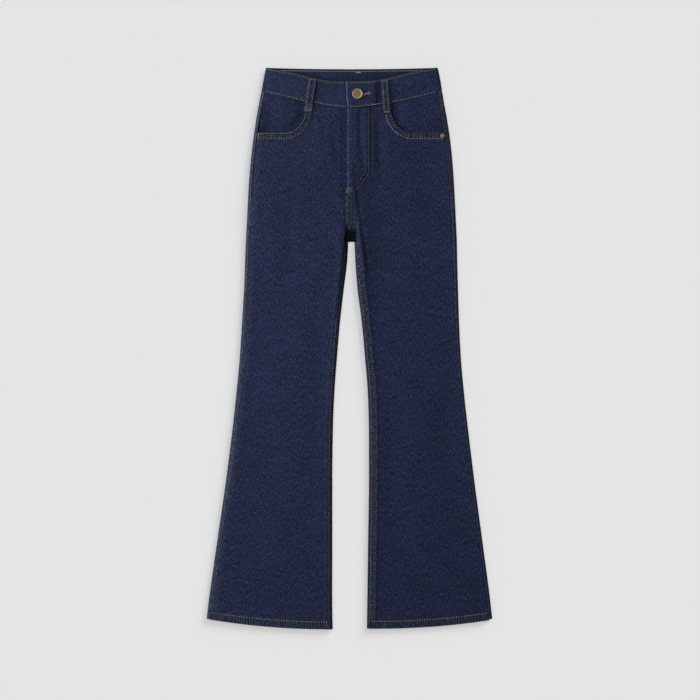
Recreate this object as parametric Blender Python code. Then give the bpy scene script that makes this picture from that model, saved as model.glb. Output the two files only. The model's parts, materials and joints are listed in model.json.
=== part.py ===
"""Flared jeans laid flat on their back, front up: every sewn piece is its own closed wall of cloth.

Frame: +X to the wearer's left, +Y towards the waist, +Z up from the surface that the jeans lie on.
The origin is at the middle of the whole outline, on that surface.

Sizes are in millimetres, turned to metres by MM when a mesh is made. `down` is always the distance
below the waist's corners. "Top" faces look up. The front cloth lies over the back cloth, and the back
pieces wrap round the edges of the legs to the seams on the front.
"""
import math

import bmesh
import bpy
import numpy as np

MM = 0.001
SIGN = {"right": -1.0, "left": 1.0}     # the wearer's side as a direction along X
SHARP = math.radians(35.0)              # edges that turn by more than this stay crisp

# ---- The garment's outline and heights, a row for each section, in millimetres ----
LENGTH = 1059.5         # waist corner to the lowest point of the hem
CENTRE = 3.8            # x of the centre seams
CROTCH = 327.9          # down to the fork between the legs
HEM_CORNER = 1040.0     # down to the hem at the outer edge
HEM_SAG = (40.0, 20.5)  # the hem drops by 40 t - 20.5 t t, with t from the outer to the inner edge

COLUMNS = ("down", "right_out", "right_in", "left_in", "left_out", "middle", "rim",
           "right_side", "right_inseam", "left_side", "left_inseam")
SECTIONS = np.array((
    # down, the four edges' x, cloth height in the middle and at the edges, seams' distance from the edges
    (0.0, -158.0, -4.0, 12.0, 166.7, 7.0, 7.4, 6.4, 8.4, 9.2, 4.4),
    (22.7, -162.7, -4.0, 12.0, 171.6, 7.0, 7.4, 6.4, 8.4, 9.2, 4.4),
    (45.4, -166.7, -4.0, 12.0, 175.2, 7.0, 7.4, 6.4, 8.4, 9.2, 4.4),
    (68.0, -171.0, -4.0, 12.0, 179.0, 7.0, 7.5, 6.4, 8.4, 9.2, 4.4),
    (98.3, -176.3, -4.0, 12.0, 184.5, 7.0, 7.6, 6.4, 8.4, 9.2, 4.4),
    (155.0, -184.3, -4.0, 12.0, 192.4, 7.0, 7.8, 6.4, 8.4, 9.2, 4.4),
    (211.7, -189.6, -4.0, 12.0, 196.9, 7.0, 7.8, 6.4, 8.4, 9.2, 4.4),
    (279.7, -193.2, -4.0, 12.0, 200.5, 6.5, 7.5, 6.4, 8.4, 8.6, 4.4),
    (327.9, -195.8, -2.5, 9.8, 202.8, 6.0, 7.2, 6.2, 8.4, 8.0, 4.4),
    (366.7, -197.3, -4.7, 11.2, 203.6, 5.8, 7.2, 6.2, 8.4, 7.6, 4.4),
    (412.0, -199.0, -10.2, 14.7, 204.9, 5.7, 7.1, 6.2, 7.6, 7.2, 4.4),
    (480.1, -203.0, -18.0, 23.2, 207.0, 5.6, 7.0, 6.2, 6.4, 6.8, 4.4),
    (548.1, -207.3, -23.8, 29.5, 210.5, 5.6, 7.0, 6.2, 5.6, 6.4, 4.4),
    (616.1, -213.9, -28.7, 34.8, 216.6, 5.6, 6.9, 6.0, 5.2, 6.0, 4.6),
    (684.2, -221.3, -31.4, 36.7, 224.3, 5.6, 6.9, 6.0, 5.2, 6.0, 4.8),
    (774.9, -232.8, -32.5, 36.9, 235.3, 5.6, 6.9, 6.0, 5.2, 6.0, 5.0),
    (888.3, -249.1, -32.5, 35.3, 250.4, 5.7, 6.9, 6.0, 5.2, 6.0, 5.0),
    (1001.7, -265.2, -32.7, 33.8, 265.4, 6.2, 7.0, 6.0, 5.2, 6.0, 5.0),
    (1039.5, -269.7, -32.3, 33.3, 269.7, 6.6, 7.0, 6.0, 5.2, 6.0, 5.0),
    (1059.7, -272.2, -31.6, 32.9, 272.2, 6.6, 7.0, 6.0, 5.2, 6.0, 5.0),
))

# ---- Cloth ----
WALL = 1.5              # denim, one layer with its seam allowance
TWILL = 1.2             # lighter layers: facings, belt loops, back pockets, button end under the fly
GAP = 0.3               # between neighbouring pieces
RIM_WIDTH = 16.0        # how far in from an edge the cloth swells towards the fold
FORK_DEPTH = 2.4        # how far the front sinks between the legs at the fork
FORK_START = 236.0      # down to where that valley begins, at the end of the fly
FORK_SLOPE = 9.0        # width of the valley's sides
PROP = 1.6              # the back pockets and loops hold the seat this far off the surface
PROP_END = (262.0, 305.0)

# Broad soft folds: name, x and down of both ends, half width, height (a trough is negative)
FOLDS = (
    ("fly ridge", 9.0, 0.0, 9.0, 330.0, 22.0, 0.8),
    ("ridge beside fly", 39.0, 70.0, 40.0, 240.0, 9.0, 0.3),
    ("trough beside fly", 60.0, 66.0, 59.0, 250.0, 10.0, -0.5),
    ("left thigh ridge", 25.0, 205.0, 33.0, 520.0, 13.0, 0.7),
    ("left thigh trough", 58.0, 205.0, 62.0, 520.0, 16.0, -0.5),
    ("left shin ridge", 128.0, 470.0, 138.0, 980.0, 30.0, 0.35),
    ("left shin trough", 84.0, 620.0, 92.0, 1030.0, 18.0, -0.3),
    ("right front ridge", -56.0, 82.0, -58.0, 262.0, 14.0, 0.35),
    ("right front trough", -27.0, 100.0, -25.0, 215.0, 9.0, -0.3),
    ("right thigh trough", -119.0, 215.0, -121.0, 470.0, 13.0, -0.45),
    ("right thigh ridge", -156.0, 150.0, -158.0, 470.0, 20.0, 0.3),
    ("right shin ridge", -100.0, 430.0, -122.0, 960.0, 28.0, 0.35),
    ("right shin trough", -150.0, 560.0, -168.0, 1020.0, 20.0, -0.3),
)

# ---- Waistband ----
BAND_WALL = 2.8         # two layers of denim, turned in at the edges
BAND_SIDE = (0.6, 45.0)     # down to the band's edges at its side folds
BACK_RISE = 4.0         # how far the back band's middle lies below its sides
BACK_HALF = 160.0       # half width of the back band's flat stretch
BUTTON_END = 43.5       # x where the button end stops, under the buttonhole end
FLY_EDGE = -3.2         # x of the fly's and the buttonhole end's folded edge
OVERLAP_FADE = (46.0, 59.0)     # x over which the buttonhole end settles down onto the garment
BUTTONHOLE = {"x": (12.0, 19.5), "share": (0.43, 0.52)}     # share of the way down the band
# The front edges of the band dip towards the middle: distance from the centre, down to both edges
FRONT_BAND = np.array((
    (0.0, 27.5, 73.8), (30.0, 26.6, 71.2), (60.0, 22.6, 66.5), (90.0, 15.0, 61.8),
    (120.0, 8.0, 54.0), (145.0, 3.4, 48.4), (171.4, 0.6, 45.0), (190.0, 0.6, 45.0),
))

# ---- Pocket mouths: a straight stretch, a quarter ellipse, then straight out to the side seam ----
MOUTH_TURN = 79.8       # down to where the ellipse begins
MOUTH_DEPTH = 122.3     # down to the mouth's lowest line
MOUTH_START = {"right": -83.3, "left": 80.0}
MOUTH_MIDDLE = {"right": -122.9, "left": 121.0}     # x where the ellipse becomes level
FACING_UNDER = 8.0      # how far the facing runs on under the front
FACING_RISE = 1.3       # the facing bulges up by this much in the mouth
FACING_SLOPE = (5.0, 20.0)      # distance from the mouth where that starts, and its width

# ---- Turned and felled edges: width and how far they stand up ----
MOUTH_BAND = (9.6, 0.5)
INSEAM_BAND = (9.6, 0.45)
INSEAM_FADE = 30.0      # the felled inseam rises over this length below the fork
HEM_BAND = (11.0, 0.35)
HEM_WALL = 2.6
STEP = 1.0              # width of the step at such a band's edge
FLY_WIDTH = 40.9        # fly edge to its stitched line
FLY_RAISE = 0.6
FLY_END = 236.3         # down to the fly's lowest point
FLY_CURVE = 39.7        # height of the curve at the bottom of the fly
FLY_FADE = 16.0         # the fly's raised layer settles over this length above the curve
SEAM_RAISE = 0.35       # the felled centre seam below the fly
SEAM_FADE = 20.0
UNDERLAP_SLOPE = 16.7   # the right front sinks under the fly over this width,
UNDERLAP_FADE = 26.0    # comes up again over this length below it,
UNDERLAP_STEP = 5.0     # and makes room for the zip over this width

# ---- Back ----
YOKE_SIDE = 68.5        # down to the yoke seam at the sides
YOKE_CENTRE = 116.0
POCKET = {"top": 130.0, "side": 232.0, "point": 258.0, "top_half": 62.0, "low_half": 52.0, "x": 94.0}

# ---- Trim ----
LOOP_BULGE = 0.9
LOOP_BOW = (0.0, 0.55, 0.95, 1.0, 0.95, 0.55, 0.0, 0.0)     # share of the bulge along a front loop
LOOP_LEVEL = 7.8        # underside of the front belt loops' sewn ends
# name: x and down of the top end, x and down of the low end, width
FRONT_LOOPS = {
    "belt_loop_front_right": (-68.4, 21.2, -77.3, 83.2, 13.6),
    "belt_loop_front_left": (68.2, 22.6, 72.8, 86.4, 12.8),
}
BACK_LOOPS = {
    "belt_loop_back_right": (-113.0, 3.0, -113.0, 66.0, 13.0),
    "belt_loop_back_centre": (3.8, 5.0, 3.8, 68.0, 13.0),
    "belt_loop_back_left": (121.0, 3.0, 121.0, 66.0, 13.0),
}
ZIP = {"x": (2.5, 22.5), "down": (77.0, 205.0), "thick": 1.0}
BUTTON_AT = (15.5, 49.1)
BUTTON_RADIUS = 10.0
BUTTON_HEIGHT = 2.2
SHANK_RADIUS = 1.6
RIVET_AT = (175.6, 128.0)
RIVET_RADIUS = 4.0

# ---- Rows and lanes of the panels' meshes, in millimetres ----
STRAIGHT = 160.0        # down to the first level row
TONGUE_END = 310.0      # the left front's tongue over the centre seam stops here
UNDERLAP_END = 229.0    # the right front's edge under the fly stops here
MOUTH_OFFSETS = (0.0, MOUTH_BAND[0], MOUTH_BAND[0] + STEP)      # rows that follow the mouth
BLEND_SHARES = (0.25, 0.5, 0.75)        # rows between those and the first level row
BODY_ROWS = (STRAIGHT, 174.0, 188.0, 199.0, 209.0, 219.0, UNDERLAP_END, 237.0, 249.0, 262.0, 274.0,
             286.0, 298.0, TONGUE_END, TONGUE_END + 0.7, 319.0, CROTCH, CROTCH + 0.6)
LEG_ROWS = (338.0, 350.0, 366.0, 388.0, 412.0, 440.0, 475.0, 512.0, 550.0, 590.0, 632.0, 676.0, 722.0,
            770.0, 820.0, 870.0, 920.0, 965.0, 1004.0, HEM_CORNER - HEM_BAND[0] - STEP,
            HEM_CORNER - HEM_BAND[0], HEM_CORNER)
HEM_EASE = 880.0        # down to where the level rows begin to bend into the hem's curve
# Lanes from the centre outwards: those over or under the other front, then the front's own
CENTRE_LANES = {
    "left": ((FLY_EDGE, 5.5), (14.2, 25.0, FLY_EDGE + FLY_WIDTH, FLY_EDGE + FLY_WIDTH + STEP, 50.0, 65.0)),
    "right": ((14.0, 7.0, 1.5), (FLY_EDGE - GAP, -14.0, -24.0, -36.0, -51.0, -67.0)),
}
INSEAM_LANES = (0.0, INSEAM_BAND[0], INSEAM_BAND[0] + STEP, 18.0)   # distances from the inseam
MOUTH_LANES = 10
FLAT_LANES = 6          # lanes across the underside of a leg
ROLL_STEPS = 4          # flat faces round each folded edge
BAND_LANE = 12.0        # spacing of the waistband's columns
# Down over which the front's inner edge leaves the centre seam for the inseam
TURN_START = {"left": FLY_END, "right": 296.0}
TURN_END = {"left": TONGUE_END, "right": CROTCH}


def smooth(t):
    """Smooth step from 0 to 1."""
    t = np.clip(t, 0.0, 1.0)
    return t * t * (3.0 - 2.0 * t)


def curve(stations, values, at):
    """Monotone cubic through the stations, so that the outline has no wiggles."""
    step = np.diff(stations)
    slope = np.diff(values) / step
    tangent = np.zeros(len(stations))
    tangent[0], tangent[-1] = slope[0], slope[-1]
    for i in range(1, len(slope)):
        if slope[i - 1] * slope[i] > 0:
            before, after = 2 * step[i] + step[i - 1], step[i] + 2 * step[i - 1]
            tangent[i] = (before + after) / (before / slope[i - 1] + after / slope[i])
    i = np.clip(np.searchsorted(stations, at) - 1, 0, len(step) - 1)
    t = np.clip((at - stations[i]) / step[i], 0.0, 1.0)
    return ((1 + 2 * t) * (1 - t) ** 2 * values[i] + t * (1 - t) ** 2 * step[i] * tangent[i]
            + t * t * (3 - 2 * t) * values[i + 1] + t * t * (t - 1) * step[i] * tangent[i + 1])


def section(column, down):
    """A column of the section table at any distance down."""
    return curve(SECTIONS[:, 0], SECTIONS[:, COLUMNS.index(column)], np.asarray(down, float))


def band_edge(x, edge):
    """Down to the front band's top edge (1) or its seam (2)."""
    return curve(FRONT_BAND[:, 0], FRONT_BAND[:, edge], np.abs(np.asarray(x, float) - CENTRE))


def bottom(down):
    """Height of the underside of the back cloth."""
    return PROP * (1.0 - smooth((np.asarray(down, float) - PROP_END[0]) / (PROP_END[1] - PROP_END[0])))


def round_off(distance, radius):
    """How far a folded edge's top has dropped at this distance from its outermost line."""
    t = np.clip(1.0 - distance / radius, 0.0, 1.0)
    return radius * (1.0 - np.sqrt(1.0 - t * t))


def fold_height(x, down):
    """The sum of the broad soft folds."""
    height = np.zeros(np.broadcast(x, down).shape)
    for _, x0, down0, x1, down1, half_width, rise in FOLDS:
        t = (down - down0) / (down1 - down0)
        along = smooth(t / 0.25) * smooth((1.0 - t) / 0.25)
        height = height + rise * along * np.exp(-((x - x0 - (x1 - x0) * t) / half_width) ** 2)
    return height


def top(x, down):
    """Height of the top face of a single layer of the front."""
    x, down = np.asarray(x, float), np.asarray(down, float)
    on_right = x < CENTRE
    outer = np.where(on_right, x - section("right_out", down), section("left_out", down) - x)
    inner = np.where(on_right, section("right_in", down) - x, x - section("left_in", down))
    middle, rim = section("middle", down), section("rim", down)
    on_leg = smooth((down - CROTCH + 12.0) / 24.0)
    swell = np.exp(-(np.maximum(outer, 0.0) / RIM_WIDTH) ** 2)
    swell = swell + on_leg * np.exp(-(np.maximum(inner, 0.0) / RIM_WIDTH) ** 2)
    radius = (rim - bottom(down)) / 2.0
    height = middle + (rim - middle) * np.minimum(swell, 1.0) + fold_height(x, down)
    valley = FORK_DEPTH * smooth((down - FORK_START) / (CROTCH - FORK_START - 6.0))
    height = height - round_off(outer, radius) - on_leg * round_off(inner, radius)
    return height - (1.0 - on_leg) * valley * (1.0 - smooth(inner / FORK_SLOPE))


def hem_sag(share):
    """Extra length of the hem, by the share of the way from the outer to the inner edge."""
    return HEM_SAG[0] * share - HEM_SAG[1] * share * share


def sagged(base, share):
    """A level row's distance down, which turns into the hem's curve towards the bottom."""
    return base + hem_sag(share) * smooth((base - HEM_EASE) / (HEM_CORNER - HEM_EASE))


def side_seam(side, down):
    """x of a front's edge at the side seam."""
    return section(side + "_out", down) - SIGN[side] * (section(side + "_side", down) + GAP / 2)


def inseam(side, down):
    """x of a front's edge at the inseam."""
    return section(side + "_in", down) + SIGN[side] * (section(side + "_inseam", down) + GAP / 2)


def make_material(name, colour, roughness, metallic=0.0):
    """A plain Principled BSDF."""
    material = bpy.data.materials.new(name)
    material.use_nodes = True
    shader = material.node_tree.nodes["Principled BSDF"]
    shader.inputs["Base Color"].default_value = (*colour, 1.0)
    shader.inputs["Roughness"].default_value = roughness
    shader.inputs["Metallic"].default_value = metallic
    material.diffuse_color = (*colour, 1.0)
    return material


def denim(name):
    """Dark indigo denim."""
    return make_material(name, (0.018, 0.022, 0.055), 0.9)


def brass(name):
    """Warm brown metal."""
    return make_material(name, (0.56, 0.33, 0.20), 0.35, 1.0)


def finish(name, mesh, material):
    """Put a finished mesh into the scene under its own name."""
    bmesh.ops.recalc_face_normals(mesh, faces=mesh.faces)
    data = bpy.data.meshes.new(name)
    mesh.to_mesh(data)
    mesh.free()
    data.shade_smooth()
    data.set_sharp_from_angle(angle=SHARP)
    data.materials.append(material)
    piece = bpy.data.objects.new(name, data)
    bpy.context.collection.objects.link(piece)
    return piece


def place(x, down, z):
    """A point of the garment in metres."""
    return (x * MM, (LENGTH / 2.0 - down) * MM, z * MM)


def wall(name, x, down, outer, inner, cells=None, inner_x=None):
    """Close a grid of cloth into a wall: its outer face, its inner face and all the cut edges.

    x, down, outer and inner hold a value for each row and column, and cells says which of the cells
    between them are cloth.
    """
    rows, columns = x.shape
    inner_x = x if inner_x is None else inner_x
    if cells is None:
        cells = np.ones((rows - 1, columns - 1), bool)
    mesh = bmesh.new()
    corner = {}

    def vertex(r, c, side):
        if (r, c, side) not in corner:
            values = (inner_x, inner) if side else (x, outer)
            corner[r, c, side] = mesh.verts.new(place(values[0][r, c], down[r, c], values[1][r, c]))
        return corner[r, c, side]

    def cloth(r, c):
        return 0 <= r < rows - 1 and 0 <= c < columns - 1 and cells[r, c]

    for r in range(rows - 1):
        for c in range(columns - 1):
            if not cells[r, c]:
                continue
            ring = ((r, c), (r + 1, c), (r + 1, c + 1), (r, c + 1))
            mesh.faces.new([vertex(*point, 0) for point in ring])
            mesh.faces.new([vertex(*point, 1) for point in reversed(ring)])
            beyond = ((r, c - 1), (r + 1, c), (r, c + 1), (r - 1, c))
            for i, neighbour in enumerate(beyond):
                if not cloth(*neighbour):
                    a, b = ring[i], ring[(i + 1) % 4]
                    mesh.faces.new([vertex(*b, 0), vertex(*a, 0), vertex(*a, 1), vertex(*b, 1)])
    return finish(name, mesh, denim(name))


# ---- Fronts ----
def mouth_line(side, count):
    """Points and outward normals along a pocket mouth, from the waist seam to the side seam."""
    sign = SIGN[side]
    start, middle = MOUTH_START[side], MOUTH_MIDDLE[side]
    angle = np.linspace(0.0, math.pi / 2.0, 33)
    end = side_seam(side, MOUTH_DEPTH)
    x = np.concatenate(([start], middle - (middle - start) * np.cos(angle), [end]))
    down = np.concatenate(([band_edge(start, 2) + GAP],
                           MOUTH_TURN + (MOUTH_DEPTH - MOUTH_TURN) * np.sin(angle), [MOUTH_DEPTH]))
    length = np.concatenate(([0.0], np.cumsum(np.hypot(np.diff(x), np.diff(down)))))
    at = np.linspace(0.0, length[-1], count)
    px, pd = np.interp(at, length, x), np.interp(at, length, down)
    ahead = np.interp(at + 1.0, length, x) - np.interp(at - 1.0, length, x)
    lower = np.interp(at + 1.0, length, down) - np.interp(at - 1.0, length, down)
    size = np.hypot(ahead, lower)
    return px, pd, -sign * lower / size, sign * ahead / size


def leg_lanes(side, down, share, extra):
    """x of a leg's lanes: a few at set distances from the inseam, then evenly out to the side seam."""
    start = inseam(side, down) + SIGN[side] * INSEAM_LANES[-1]
    x = start + (side_seam(side, down) - start) * share
    for lane, distance in enumerate(INSEAM_LANES, extra):
        x[lane] = inseam(side, down[lane]) + SIGN[side] * distance
    return x


def front_grid(side):
    """x and down of the front's grid, with the lanes from the centre outwards."""
    past, own = CENTRE_LANES[side]
    lanes = np.array(past + own)
    near, extra = len(lanes), len(past)
    mouth_x, mouth_down, normal_x, normal_down = mouth_line(side, MOUTH_LANES)
    edge_x = np.concatenate((lanes, mouth_x))
    edge_down = np.concatenate((band_edge(lanes, 2) + GAP, mouth_down))
    push_x = np.concatenate((np.zeros(near), normal_x))
    push_down = np.concatenate((np.ones(near), normal_down))
    push_x[near], push_down[near] = -SIGN[side], 1.0
    rows_x = [edge_x + offset * push_x for offset in MOUTH_OFFSETS]
    rows_down = [edge_down + offset * push_down for offset in MOUTH_OFFSETS]

    level = np.concatenate((lanes, np.linspace(MOUTH_START[side], side_seam(side, STRAIGHT), MOUTH_LANES)))
    last_x, last_down = rows_x[-1], rows_down[-1]
    for t in BLEND_SHARES:
        rows_x.append(last_x + (level - last_x) * t)
        rows_down.append(last_down + (STRAIGHT - last_down) * t)

    first = extra + len(INSEAM_LANES)
    share = np.clip((np.arange(len(level)) - first + 1.0) / (len(level) - first), 0.0, 1.0)
    widened = np.clip((level - level[first - 1]) / (level[-1] - level[first - 1]), 0.0, 1.0)
    for base in BODY_ROWS + LEG_ROWS:
        down = np.full(len(level), base)
        if base > CROTCH:
            outer, inner = section(side + "_out", base), section(side + "_in", base)
            across = (leg_lanes(side, down, share, extra) - outer) / (inner - outer)
            down = sagged(base, np.clip(across, 0.0, 1.0))
        leg = leg_lanes(side, down, share, extra)
        leg[:extra] = level[:extra]
        body = level + (side_seam(side, down) - side_seam(side, STRAIGHT)) * widened
        turn = smooth((base - TURN_START[side]) / (TURN_END[side] - TURN_START[side]))
        rows_x.append(body + (leg - body) * turn)
        rows_down.append(down)
    x, down = np.array(rows_x), np.array(rows_down)
    x[:, -1] = side_seam(side, down[:, -1])
    return x, down, extra


def fly_curve(x):
    """Down to the stitched curve at the bottom of the fly."""
    return FLY_END - FLY_CURVE * ((x - FLY_EDGE) / FLY_WIDTH) ** 2


def row_number(base):
    """Where a level row comes in the front's grid."""
    return len(MOUTH_OFFSETS) + len(BLEND_SHARES) + BODY_ROWS.index(base)


def front(side):
    """A leg front: top edge along the waistband and the pocket mouth, bands raised along its sewn edges."""
    x, down, extra = front_grid(side)
    height = top(x, down)
    band = np.zeros(x.shape)
    band[:2, -MOUTH_LANES:] = MOUTH_BAND[1]
    band[:, extra:extra + 2] += INSEAM_BAND[1] * smooth((down[:, [extra]] - TONGUE_END) / INSEAM_FADE)
    band[-2:, :] = np.maximum(band[-2:, :], HEM_BAND[1])
    thickness = np.full(x.shape, WALL)
    thickness[-2:, :] = HEM_WALL - HEM_BAND[1]
    inner = height - thickness
    cells = np.ones((x.shape[0] - 1, x.shape[1] - 1), bool)
    if side == "left":
        fly = FLY_RAISE * smooth((fly_curve(x) - down) / FLY_FADE)
        fly[:, CENTRE_LANES[side][1].index(FLY_EDGE + FLY_WIDTH) + extra + 1:] = 0.0
        seam = np.zeros(x.shape)
        seam[:, :extra] = SEAM_RAISE * smooth((TONGUE_END - down[:, :extra]) / SEAM_FADE)
        band += np.maximum(fly, seam)
        cells[row_number(TONGUE_END):, :extra] = False
    else:
        fade = 1.0 - smooth((down - FLY_END) / UNDERLAP_FADE)
        edge = FLY_EDGE - GAP
        beside = (WALL + GAP) * smooth((x - edge + UNDERLAP_SLOPE) / UNDERLAP_SLOPE)
        under = (ZIP["thick"] + GAP) * np.clip((x - edge) / UNDERLAP_STEP, 0.0, 1.0)
        height = height - fade * (beside + under)
        inner = height - np.where(x > edge, TWILL, thickness)
        cells[row_number(UNDERLAP_END):, :extra] = False
    return wall("front_" + side, x, down, height + band, inner, cells)


def facing(side):
    """Plain denim behind a pocket mouth, one layer below the front."""
    start = MOUTH_START[side] - SIGN[side] * FACING_UNDER
    share = np.linspace(0.0, 1.0, 11)[None, :]
    along = np.linspace(0.0, 1.0, 9)[:, None]
    upper = BAND_SIDE[1]
    for _ in range(4):
        upper = band_edge(start + (side_seam(side, upper) - start) * share, 2) + GAP
    down = upper + (MOUTH_DEPTH + FACING_UNDER - upper) * along
    x = start + (side_seam(side, down) - start) * share
    mouth_x, mouth_down, normal_x, normal_down = mouth_line(side, 60)
    apart_x, apart_down = x[..., None] - mouth_x, down[..., None] - mouth_down
    nearest = np.argmin(np.hypot(apart_x, apart_down), axis=-1)[..., None]
    past = np.take_along_axis(apart_x * normal_x + apart_down * normal_down, nearest, axis=-1)[..., 0]
    rise = FACING_RISE * smooth((-past - FACING_SLOPE[0]) / FACING_SLOPE[1])
    outer = top(x, down) - (WALL + GAP) + rise
    return wall("pocket_facing_" + side, x, down, outer, outer - TWILL)


# ---- Backs ----
def edge_roll(side, which, down, thickness):
    """Outer and inner points round a folded edge, from its top over the outermost line to its underside."""
    sign = SIGN[side] * (1.0 if which == "out" else -1.0)
    edge = section(side + "_" + which, down)
    radius = (section("rim", down) - bottom(down)) / 2.0
    crest = top(edge - sign * radius, down)
    low = bottom(down)
    middle, half = (crest + low) / 2.0, (crest - low) / 2.0
    points = []
    for angle in np.linspace(math.pi / 2.0, -math.pi / 2.0, ROLL_STEPS + 1):
        turn, lift = math.cos(angle), math.sin(angle)
        points.append((edge - sign * radius * (1.0 - turn), middle + half * lift,
                       edge - sign * radius + sign * (radius - thickness) * turn,
                       middle + (half - thickness) * lift))
    return points


def back_row(side, down_front, down_side, down_back, inner_end, lip_inside, thickness, flat_lanes):
    """One row of a back piece: lip, folded edge, underside, and below the fork the inner fold and its lip."""
    sign = SIGN[side]
    line = []
    edge = section(side + "_out", down_side)
    radius = (section("rim", down_side) - bottom(down_side)) / 2.0
    lip = edge - sign * (section(side + "_side", down_side) - GAP / 2)
    for t in (0.0, 0.5):
        x = lip + (edge - sign * radius - lip) * t
        z = top(x, down_front)
        line.append((x, down_front, z, x, z - thickness))
    for x, z, inner_x, inner_z in edge_roll(side, "out", down_side, thickness):
        line.append((x, down_side, z, inner_x, inner_z))
    start = edge - sign * radius
    for t in np.arange(1, flat_lanes + 1) / flat_lanes:
        x = start + (inner_end - start) * t
        down = down_back(x, t)
        line.append((x, down, bottom(down), x, bottom(down) + thickness))
    if lip_inside is not None:
        line.pop()
        down = down_back(inner_end, 1.0)
        for x, z, inner_x, inner_z in edge_roll(side, "in", down, thickness)[::-1]:
            line.append((x, down, z, inner_x, inner_z))
        z = top(lip_inside, down)
        line.append((lip_inside, down, z, lip_inside, z - thickness))
    return line


def yoke_line(side, x):
    """Down to the yoke seam under the seat."""
    width = abs(section(side + "_out", YOKE_SIDE) - CENTRE)
    return YOKE_SIDE + (YOKE_CENTRE - YOKE_SIDE) * (1.0 - np.clip(abs(x - CENTRE) / width, 0.0, 1.0))


def back_seam(x):
    """Down to the waistband's lower edge under the seat."""
    return BAND_SIDE[1] + BACK_RISE * (1.0 - np.clip(abs(x - CENTRE) / 171.0, 0.0, 1.0) ** 2)


def wall_of_rows(name, lines, omit=None):
    """A wall from rows of (x, down, outer, inner x, inner), the shorter of which leave lanes empty."""
    grid = np.zeros((len(lines), max(len(line) for line in lines), 5))
    cells = np.zeros((grid.shape[0] - 1, grid.shape[1] - 1), bool)
    for r, line in enumerate(lines):
        grid[r, :len(line)] = line
        if r:
            cells[r - 1, :min(len(line), len(lines[r - 1])) - 1] = True
    if omit is not None:
        cells[omit] = False
    x, down, outer, inner_x, inner = np.moveaxis(grid, -1, 0)
    return wall(name, x, down, outer, inner, cells, inner_x)


def yoke(side):
    """The shaped strip between the waistband and the back, from the front's side seam to the centre back."""
    sign = SIGN[side]
    side_top = BAND_SIDE[1] + GAP
    lip = section(side + "_out", side_top) - sign * section(side + "_side", side_top)
    front_top = band_edge(lip, 2) + 2.0 * GAP
    low = YOKE_SIDE - GAP / 2
    lines = []
    for t in (0.0, 0.35, 0.7, 1.0):
        def down_back(x, _, t=t):
            upper = back_seam(x) + GAP
            return upper + (yoke_line(side, x) - GAP / 2 - upper) * t
        lines.append(back_row(side, front_top + (low - front_top) * t, side_top + (low - side_top) * t,
                              down_back, CENTRE + sign * GAP / 2, None, WALL, FLAT_LANES))
    return wall_of_rows("yoke_" + side, lines)


def back(side):
    """A leg back, which wraps round the outer edge and, below the fork, round the inner edge as well."""
    sign = SIGN[side]
    centre = CENTRE + sign * GAP / 2
    first = YOKE_SIDE + GAP / 2
    lines = []
    for t in (0.0, 0.25, 0.5, 0.75):
        def down_back(x, _, t=t):
            upper = yoke_line(side, x) + GAP / 2
            return upper + (STRAIGHT - upper) * t
        down = first + (STRAIGHT - first) * t
        lines.append(back_row(side, down, down, down_back, centre, None, WALL, FLAT_LANES + 1))
    for base in (row for row in BODY_ROWS if row <= CROTCH):
        lines.append(back_row(side, base, base, lambda x, _, base=base: base, centre, None, WALL,
                              FLAT_LANES + 1))
    last_body_row = len(lines) - 1
    for base in (BODY_ROWS[-1],) + LEG_ROWS:
        thickness = HEM_WALL if base >= HEM_CORNER - HEM_BAND[0] else WALL
        low = sagged(base, 1.0)
        inner = section(side + "_in", low)
        radius = (section("rim", low) - bottom(low)) / 2.0
        inset = section(side + "_inseam", low) - GAP / 2
        lines.append(back_row(side, base, base, lambda x, t, base=base: sagged(base, t),
                              inner + sign * radius, inner + sign * inset, thickness, FLAT_LANES))
    fork = (last_body_row, slice(2 + ROLL_STEPS + FLAT_LANES, None))
    return wall_of_rows("back_" + side, lines, fork)


def back_pocket(side):
    """A flat five-sided patch under the seat."""
    middle = CENTRE + SIGN[side] * POCKET["x"]
    outline = ((-POCKET["top_half"], POCKET["top"]), (POCKET["top_half"], POCKET["top"]),
               (POCKET["low_half"], POCKET["side"]), (0.0, POCKET["point"]),
               (-POCKET["low_half"], POCKET["side"]))
    name = "back_pocket_" + side
    mesh = bmesh.new()
    face = mesh.faces.new([mesh.verts.new(place(middle + x, down, 0.0)) for x, down in outline])
    grown = bmesh.ops.extrude_face_region(mesh, geom=[face])["geom"]
    lifted = [item for item in grown if isinstance(item, bmesh.types.BMVert)]
    bmesh.ops.translate(mesh, verts=lifted, vec=(0.0, 0.0, TWILL * MM))
    return finish(name, mesh, denim(name))


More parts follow.
